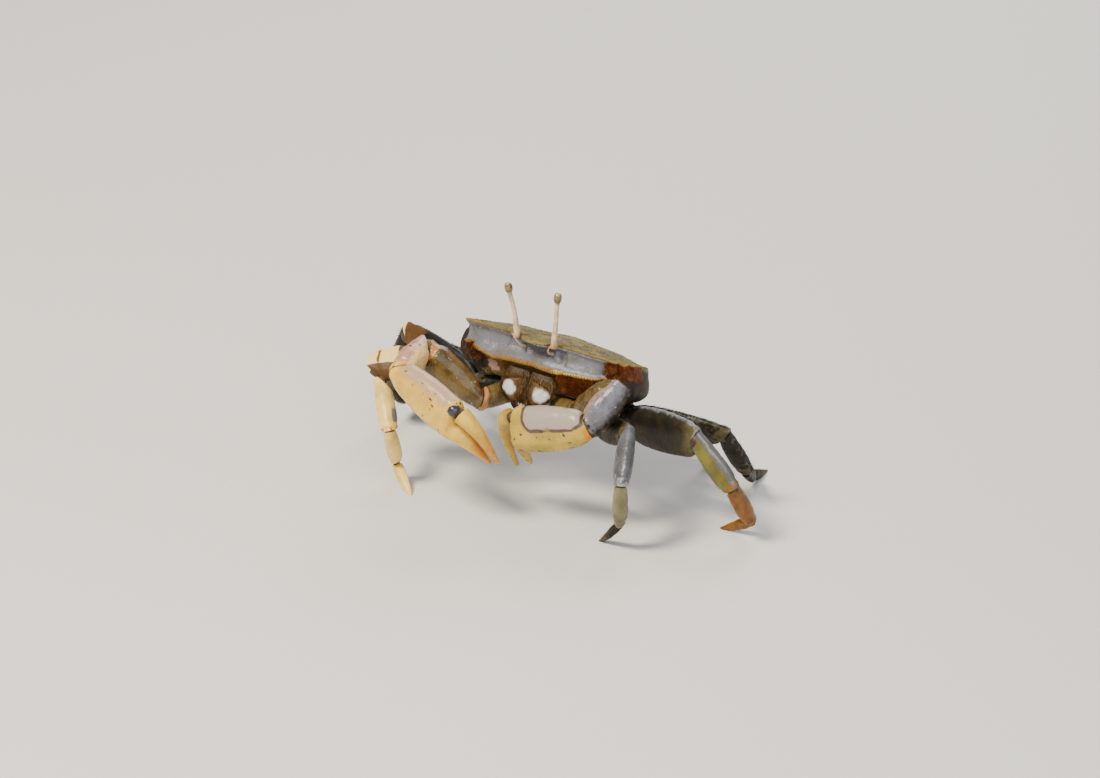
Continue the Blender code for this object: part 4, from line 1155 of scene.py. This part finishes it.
# %% Build the joint skins and knuckles
def ball(count):
    """Unit sphere as nine rings of count points: x, y, z from the cosines and sines of latitude and
    longitude, without the poles, which closing the rings adds."""
    lat = np.radians(np.linspace(-84.0, 84.0, 9))[:, None]
    lon = np.linspace(0.0, 2.0 * np.pi, count, endpoint=False)
    x, y, z = np.cos(lat) * np.cos(lon), np.cos(lat) * np.sin(lon), np.sin(lat) * np.ones_like(lon)
    return np.stack((x, y, z), axis=-1)


skins = [closed(place + ball(16) * (radius * 0.78), {}) for place, radius in joint_places]
piece("joint_skins", skins, JOINT_SKIN)
knuckle = ball(24)
knuckle = raised(knuckle, 0.08 * ripple(knuckle * 3.0, 2.0, 81))
for side, place in knuckle_places.items():
    size, colours = KNUCKLE[side][1:]
    wet = shell_finish(f"wet_hinge_knuckle_{side}", *colours, rough=0.12, relief_mm=0.05, coat=0.5,
                       coat_rough=0.08)
    piece(f"claw_{side}_knuckle", [closed(place + knuckle * size, {})], wet)
print("joint skins:", len(joint_places), "knuckles:", len(knuckle_places))

# %% [markdown]
# ## Eyes
# The eyes of this crab stand on long thin stalks, cream coloured and a little translucent, and each ends in
# a glassy olive bead. A curve with a bevel could make the stalk; a bent sweep is used again, because it takes
# a size at every stop. The bead is a small egg. Its thick clear coat is nearly free of roughness, so it shows
# the small sharp highlight of a wet eye, and its top is painted paler as a painted highlight. Beside each
# stalk, next to the front lobe, sits one short feeler.

# %% Build the eyes
# Where the left stalk stands on the shell, the way from there to each eye's end, and how far a stalk bows.
EYE_BASE = (3.9, -10.9, -0.2)
EYE_TIP = {"l": (1.0, -0.15, 10.8), "r": (-2.4, 0.25, 10.0)}
EYE_BEND = {"l": (0.1, 0.0), "r": (0.5, 0.1)}
# Places of a stalk's stops as shares of that way, and its radii at them and at its end in the bead.
STALK_PLACES = (0.0, 0.14, 0.34, 0.54, 0.7, 0.8)
STALK_WIDTHS = (0.66, 0.58, 0.48, 0.43, 0.42, 0.46, 0.5)
FEELER = ((2.9, -8.9, -1.7), (2.95, -10.2, -1.5), (3.1, -11.2, -1.1), (3.6, -12.0, -0.4), (4.3, -12.5, 0.5))
FEELER_WIDTHS = (0.34, 0.28, 0.16, 0.1, 0.04)
SIDEWAYS = np.array((1.0, 0.0, 0.0))
STALK = shell_finish("cream_translucent_eyestalk", "D8C09A", "BFA680",
                     layers=(("along", 0.3, -0.1, "B86A3A", 0.3), ("along", 0.65, 1.0, "8E8C80", 0.25)),
                     rough=0.25, mottle_mm=1.2, relief_mm=0.02, coat=0.3)
# The paler top of the cornea is a painted highlight.
CORNEA = shell_finish("glassy_olive_cornea_with_painted_highlight", "7E6A34", "5A4C28",
                      layers=(("along", 0.7, 1.05, "A89A6C", 0.08), ("along", 0.3, 0.0, "8E8468", 0.1)),
                      rough=0.1, mottle_mm=0.8, grain_mm=0.12, relief_mm=0.006, coat=1.0, coat_rough=0.03,
                      ragged=0.08)
feelers = []
for side, sign in (("l", 1.0), ("r", -1.0)):
    base = on_side(EYE_BASE, sign)
    reach = np.array(EYE_TIP[side])
    t = np.array(STALK_PLACES)[:, None]
    spine = base + reach * t + np.sin(np.pi * t) * np.array((*EYE_BEND[side], 0.0))
    spine = np.concatenate((spine, spine[-1:] + unit(reach) * (GAP + 0.15)))
    skin = through(sweep(spine, SIDEWAYS, [(v, v) for v in STALK_WIDTHS], 28, 2.0), 8)
    along = np.linspace(0.0, 1.0, len(skin))[:, None] * np.ones((1, 28))
    skin = raised(skin, 0.025 * ripple(skin, 1.0, 81) + 0.05 * bell(along, 0.2, 0.03))
    dress(f"eyestalk_{side}", skin, {"along": along}, STALK)
    axis = unit(reach)
    foot = spine[-2] + axis * GAP
    tall = 0.2 * np.linalg.norm(reach) - GAP + 0.2
    up = np.linspace(0.02, 0.995, 22)
    wide = 0.78 * (1.0 - np.abs((up - 0.46) / 0.55) ** 2.3) ** 0.5
    rings = sweep([foot + axis * tall * v for v in up], SIDEWAYS, [(v, v) for v in wide], 32, 2.0)
    dress(f"cornea_{side}", rings, {"along": up[:, None]}, CORNEA)
    rings = through(sweep(on_side(FEELER, sign), UP, [(v, v) for v in FEELER_WIDTHS], 12, 2.0), 5)
    feelers.append(closed(rings, {"along": np.linspace(0.3, 0.7, len(rings))[:, None]}))
piece("feelers", feelers, STALK)
print("the right eye's top in mm over the floor:", round(float((foot + axis * tall)[2]), 1))

# %% [markdown]
# ## Underside and mouth
# The breast plate is a broad shallow block between the legs, with seams where its plates have grown together.
# The tail plate of a male is a narrow ribbon folded forward under it, in rings. The seams could be cut with
# booleans; here they are bell curves pressed into a fine surface, which leaves no hard corners. The breast is
# dull, mottled shell, and the tail has old mud rubbed into it, which the dirt mask lays on evenly.

# %% Build breast and tail
BREAST = shell_finish("mottled_breast_shell", "8C7E5E", "5E543E", layers=(("dirt", 0.3, 0.8, "3E3524", 0.5),),
                      rough=0.38, relief_mm=0.08)
BREAST_TOP = FLOOR_OF_SHELL - GAP
x, y = oval(48, 2.6)
stops = []
for at, half, low in ((-4.2, 2.2, -11.6), (-3.2, 4.2, -12.2), (-1.0, 6.4, -12.5), (2.5, 7.0, -12.5),
                      (6.0, 6.6, -12.4), (7.8, 5.2, -11.8), (8.7, 3.0, -11.0)):
    height = 0.5 * (BREAST_TOP + low) + y * 0.5 * (BREAST_TOP - low)
    stops.append(np.stack((x * half, np.full(48, at), height), axis=1))
breast = through(stops, 10)
seams = sum(bell(breast[..., 1], c + 0.03 * breast[..., 0] ** 2, 0.22) for c in (-2.6, 0.2, 3.0, 5.8))
number = np.arange(len(breast))[:, None]
below = step(1.5, 2.5, np.abs(breast[..., 0])) * step(-0.2, -0.6, y)
below = below * step(0, 4, number) * step(0, 4, len(breast) - 1 - number)
breast = raised(breast, -0.16 * seams * below)
dress("sternum", to_room(breast), {}, BREAST)
# Places of the tail plate's middle line, (y, z, half breadth), from the shell's rear rim forward.
path = ((12.35, -2.9, 5.6), (12.45, -4.0, 5.8), (12.1, -5.6, 5.8), (11.4, -7.8, 5.4), (10.7, -10.2, 4.8),
        (9.6, -12.4, 4.2), (7.2, -13.5, 3.7), (3.5, -13.6, 3.0), (0.0, -13.5, 2.4), (-2.4, -13.2, 1.8),
        (-3.6, -13.0, 1.0))
stops = sweep([(0.0, y, z) for y, z, half in path], SIDEWAYS, [(half, 0.45) for y, z, half in path], 40, 3.0)
tail = through(stops, 8)
place = np.arange(len(tail))[:, None] / 8.0
seam = sum(bell(place, c, 0.09) for c in (1.4, 2.6, 3.9, 5.2, 6.5, 7.8, 9.1))
tail = raised(tail, -0.12 * seam * step(0.0, 0.5, place) * step(0.0, 0.5, 10.0 - place) * np.ones((1, 40)))
dress("abdomen", to_room(tail), {"dirt": 0.6}, BREAST)
print("rings of the tail plate:", len(tail))

# %% [markdown]
# ## Mouth doors
# The outer mouthparts are two flat doors in front of the mouth, brown, ridged and hairy, each with a wet
# patch whose white reflection is painted into its colour. They are slabs with rounded edges: rings of a very
# square superellipse, stacked from top to bottom. The patch is a soft oval round one point, so that it ends
# without a straight edge; it is pale and smooth, a painted reflection that the eye takes for water. The top
# of each door is darkened as painted shade.

# %% Build the mouth doors
# The white patch is a painted reflection; the darker top of each door is painted shade.
MOUTH_DOOR = shell_finish("ridged_brown_mouth_door_with_painted_reflection_and_shade", "5C4020", "402A14",
                          layers=(("groove", 0.3, 0.9, "2A180C", 0.5), ("shade", 0.2, 0.9, "3E2C14", 0.5),
                                  ("white", 0.15, 1.15, "CACECC", 0.25)),
                          rough=0.45, relief_mm=0.1, ragged=0.2, coat=0.0, shine=0.35)
PATCH_WIDTH = {"l": 2.1, "r": 1.6}
PATCH_HEIGHT = 1.6
x, y = oval(48, 3.2)
door_places = []
for side, sign in (("l", 1.0), ("r", -1.0)):
    stops = []
    for z, inner, outer, mid, thick in ((-5.75, 0.5, 4.6, -9.8, 0.55), (-6.6, 0.25, 5.1, -9.9, 0.8),
                                        (-8.2, 0.2, 5.35, -10.0, 0.85), (-9.8, 0.2, 5.2, -10.0, 0.85),
                                        (-11.0, 0.25, 4.2, -9.9, 0.75), (-11.8, 0.5, 3.2, -9.7, 0.5)):
        px = sign * (0.5 * (inner + outer) + x * 0.5 * (outer - inner))
        stops.append(np.stack((px, mid + y * thick, np.full(48, z)), axis=1))
    door = through(stops, 10)
    dx, dz = np.abs(door[..., 0]), door[..., 2]
    front = step(-9.6, -10.2, door[..., 1])
    groove = bell(dx, 4.95, 0.14) + bell(dz, -7.3 - 0.25 * (dx - 2.0), 0.16) * (dx < 4.9)
    groove = (groove + 0.6 * np.sin(dx * 10.0) * (1.0 - step(1.3, 1.7, dx))) * front
    door = raised(door, -0.16 * groove)
    reach = np.sqrt(((dx - 3.2) / PATCH_WIDTH[side]) ** 2 + ((dz + 9.45) / PATCH_HEIGHT) ** 2)
    reach = reach + 0.22 * ripple(door, 1.8, 41)
    # The white patch is a painted reflection of a wet spot; the top of the door is darkened as painted shade.
    marks = {"white": (1.0 - step(0.5, 1.15, reach)) * front, "groove": groove, "shade": step(-8.0, -6.6, dz)}
    haired = (front > 0.3) & (reach > 1.25) & (dz > -11.7) & (dz < -5.9)
    door = to_room(door)
    dress(f"maxilliped_{side}", door, marks, MOUTH_DOOR)
    door_places.append((door, normals(door), haired))
print("mouth doors:", len(door_places))

# %% [markdown]
# ## Hair
# Short brown hair hangs from the cheeks under the eye ridge and from the mouth doors, and the top edges of
# the legs carry a dark fringe. Blender's hair curves would be quicker to comb, but they are lost in an export
# to solids, so each hair is a thin solid taper. Hair is dull keratin-like chitin without a coat, and its tips
# are lighter, which lets single hairs be seen against the dark below. Its map places each hair, as a tiny
# patch, where its root sits on the unrolled skin, so a baked colour comes out even.

# %% Hair on the cheeks
def hair_piece(name, parts, material):
    """Joins hair parts and gives the object its map: each loop takes the map place of its own point."""
    thing = piece(name, parts, material)
    uv = np.concatenate([p["uv"] for p in parts])
    index = np.empty(len(thing.data.loops), dtype=np.int32)
    thing.data.loops.foreach_get("vertex_index", index)
    thing.data.uv_layers.new(name="OFBake").data.foreach_set("uv", uv[index].ravel().astype(np.float32))
    return thing


def lying(rng, out, pull, spread):
    """Unit directions of hairs: outward vector plus pull plus a random vector of the size spread."""
    return unit(out + pull + rng.normal(0, spread, out.shape))


CHEEK_HAIR = shell_finish("red_brown_cheek_hair", "7E3E14", "4A220C",
                          layers=(("along", 0.5, 1.1, "A05E2A", 0.45),),
                          rough=0.4, mottle_mm=1.2, coat=0.0, relief_mm=0.01)
# Which way a hair bends: its tip is shifted by half of this times its length.
DROOP = np.array((0.0, 0.1, -0.4))
# Random places that are tried; the masks say how likely each of them carries a hair.
TRIED = 60000
rng = np.random.default_rng(11)
n, m = room_shell.shape[:2]
rows = rng.integers(RIM_ROW + 2, RIM_ROW + 31, TRIED)
cols = rng.integers(0, m, TRIED)
chance = masks["rust"][rows, cols] * 0.9 + masks["cheek"][rows, cols] * 0.1 - masks["pink"][rows, cols]
keep = rng.random(TRIED) < chance
keep &= np.abs(shell[rows, cols, 0]) > 5.6
rows, cols = rows[keep], cols[keep]
lie = lying(rng, room_out[rows, cols] * 0.3, np.array((-0.25, -0.25, -0.9)), 0.16)
uv = np.stack((cols / m, rows / n), axis=1)
cheek = hairs(room_shell[rows, cols], lie, DROOP, rng.uniform(0.6, 1.5, len(rows)), 0.05, uv)
hair_piece("cheek_hair", [cheek], CHEEK_HAIR)
print("cheek hairs:", len(rows))

# %% [markdown]
# ## Beads of water
# A wet crab carries a few beads of water on its upper side. A bead is a low dome like a grain, painted pale
# as a glint, since clear water has no colour of its own, and with the clearest coat of all, so that the light
# makes a point on it. They sit at random places in the eye trenches and on the arms and wrists of the claws,
# and they are few, because many would look like grit.

# %% Beads of water
def picked(rng, there, count):
    """Rows and columns of count random points of a grid among those where there is true."""
    row, col = np.nonzero(there)
    pick = rng.integers(0, len(row), count)
    return row[pick], col[pick]


# The pale grey of a bead is a painted glint.
WATER = shell_finish("bead_of_water_painted_glint", "A4A4A0", "8C8E8C", rough=0.1, relief_mm=0.0, coat=1.0, coat_rough=0.03)
parts = []
in_trench = masks["film"] * (wall < 2.2) > 0.6
for skin, there, count in ((room_shell, in_trench, BEADS["shell"]), *wet_limbs):
    row, col = picked(rng, there, count)
    parts.append(grains(skin[row, col], normals(skin)[row, col], rng.uniform(0.05, 0.15, count)))
piece("water_beads", parts, WATER)
print("beads of water:", sum(len(part["points"]) for part in parts) // GRAIN_POINTS)

# %% [markdown]
# The hair of the mouth doors is lighter than that of the cheeks. It leaves the wet patches free, and every
# hair points down and a little forward.

# %% Hair of the mouth doors
DOOR_HAIRS = 1300
DOOR_HAIR = shell_finish("brown_mouth_hair", "5E4220", "3A2812",
                         layers=(("along", 0.5, 1.1, "86683A", 0.45),),
                         rough=0.4, mottle_mm=1.2, coat=0.0, relief_mm=0.01)
parts = []
for half, (skin, out, there) in enumerate(door_places):
    row, col = picked(rng, there, DOOR_HAIRS)
    lie = lying(rng, out[row, col] * 0.35, np.array((0.0, -0.1, -0.9)), 0.16)
    uv = np.stack((0.5 * (half + col / skin.shape[1] * 0.9), row / skin.shape[0]), axis=1)
    parts.append(hairs(skin[row, col], lie, DROOP, rng.uniform(0.5, 1.1, DOOR_HAIRS), 0.045, uv))
hair_piece("mouth_hair", parts, DOOR_HAIR)
print("mouth hairs:", 2 * DOOR_HAIRS)

# %% [markdown]
# The fringe of a leg stands along the outer edge of its broad segments, and a few hairs stand on the inner
# edge. The hairs lean towards the toe. Their number follows the length of the segment.

# %% Fringes of the legs
LEG_HAIR = shell_finish("dark_leg_hair", "1A1612", "100E0C", layers=(("along", 0.6, 1.2, "3E3224", 0.5),),
                        rough=0.5, mottle_mm=1.5, coat=0.0, relief_mm=0.01)
HAIRS_PER_MM = 20
parts = []
for number, (skin, length) in enumerate(fringes):
    count = int(length * HAIRS_PER_MM)
    at = rng.uniform(0.08, 0.95, count)
    turn = rng.normal(0.0, 0.1, count) + (rng.random(count) < 0.12) * np.pi
    col = np.round(turn / (2.0 * np.pi) * skin.shape[1]).astype(int) % skin.shape[1]
    row = np.round(at * (len(skin) - 1)).astype(int)
    run = unit(skin[-1].mean(axis=0) - skin[0].mean(axis=0))
    lie = lying(rng, normals(skin)[row, col], run * 0.55, 0.2)
    u = ((number % 6) + col / skin.shape[1] * 0.9) / 6.0
    v = ((number // 6) + at * 0.9) / 4.0
    uv = np.stack((u, v), axis=1)
    parts.append(hairs(skin[row, col], lie, run * 0.4, rng.uniform(0.35, 0.85, count), 0.045, uv))
hair_piece("leg_fringes", parts, LEG_HAIR)
print("fringe hairs:", sum(len(p["points"]) for p in parts) // HAIR_POINTS)

# %% [markdown]
# ## Floor, light and camera
# A plain floor of matte pale paper and soft light from the upper left, as in a studio: paper has no shine
# that would mirror the crab, and area lamps leave no hard shadows. The camera looks down at 22 degrees from
# 30 degrees off the crab's front, through a long lens, so that the picture has the flat look of a distant
# telephoto view. Its lens comes from its distance and the scale of the picture, pixels to the millimetre.

# %% Floor
floor_mesh = bpy.data.meshes.new("studio_floor")
floor_mesh.from_pydata([(-3, -3, 0), (3, -3, 0), (3, 3, 0), (-3, 3, 0)], [], [(0, 1, 2, 3)])
floor = bpy.data.objects.new("studio_floor", floor_mesh)
bpy.context.scene.collection.objects.link(floor)
paper = bpy.data.materials.new("matte_paper_floor")
paper.use_nodes = True
sheet = paper.node_tree.nodes["Principled BSDF"]
sheet.inputs["Base Color"].default_value = tint("DAD7D0")
sheet.inputs["Roughness"].default_value = 0.9
floor_mesh.materials.append(paper)
world = bpy.data.worlds.new("studio")
world.use_nodes = True
sky = world.node_tree.nodes["Background"]
sky.inputs["Color"].default_value = tint("D6DAE0")
sky.inputs["Strength"].default_value = 0.4
bpy.context.scene.world = world
print("floor", tuple(floor.dimensions))

# %% Camera
def aim(thing, place, target):
    """Puts the object at place with its -Z axis on the target and its Y axis up."""
    place, target = Vector(place), Vector(target)
    turned = (target - place).to_track_quat("-Z", "Y").to_matrix().to_4x4()
    thing.matrix_world = Matrix.Translation(place) @ turned


CAMERA_AZIMUTH = 30.0
CAMERA_ELEVATION = 22.0
PICTURE_PIXELS = (1100.0, 778.0)
PIXELS_PER_MM = 5.45
# The pixel that shows the floor under the shell's middle, from the left and from the top.
ORIGIN_PIXEL = (563.77, 476.7)
# The camera's distance in metres and the width of its sensor in mm.
DISTANCE = 2.2
SENSOR = 36.0
a, e = np.radians(CAMERA_AZIMUTH), np.radians(CAMERA_ELEVATION)
right = np.array((np.cos(a), np.sin(a), 0.0))
away = np.array((-np.sin(a), np.cos(a), 0.0))
upward = away * np.sin(e) + UP * np.cos(e)
back = UP * np.sin(e) - away * np.cos(e)
centre = right * (PICTURE_PIXELS[0] / 2.0 - ORIGIN_PIXEL[0]) / PIXELS_PER_MM
centre = centre + upward * (ORIGIN_PIXEL[1] - PICTURE_PIXELS[1] / 2.0) / PIXELS_PER_MM
centre = (centre - MIDDLE) * MM
lens = bpy.data.cameras.new("long_lens")
lens.sensor_width = SENSOR
lens.lens = SENSOR * DISTANCE / (PICTURE_PIXELS[0] / PIXELS_PER_MM * MM)
lens.clip_start = 0.1
camera = bpy.data.objects.new("camera", lens)
bpy.context.scene.collection.objects.link(camera)
aim(camera, centre + back * DISTANCE, centre)
bpy.context.scene.camera = camera
print("lens in mm:", round(lens.lens, 1))

# %% [markdown]
# Three area lamps light the model. The key stands high on the left and is a little warm, the fill stands by
# the camera and is a little cool, and the rim light from behind lifts the edge of the back off the floor.

# %% Lights
# The point in metres that all lamps are aimed at.
LIT = (0.0, 0.0, 0.02)
for name, place, size, power, code in (
    ("key", -right * 0.35 + UP * 0.5 + back * 0.25, 0.2, 8.5, "FFF4E2"),
    ("fill", right * 0.1 + UP * 0.1 + back * 0.5, 0.5, 2.2, "EEF2FF"),
    ("rim", right * 0.1 + UP * 0.5 - back * 0.4, 0.3, 1.6, "FFFFFF"),
):
    lamp = bpy.data.lights.new(name, "AREA")
    lamp.size = size
    lamp.energy = power
    lamp.color = tint(code)[:3]
    holder = bpy.data.objects.new(name, lamp)
    bpy.context.scene.collection.objects.link(holder)
    aim(holder, place, LIT)
print("lamps:", len(bpy.data.lights))
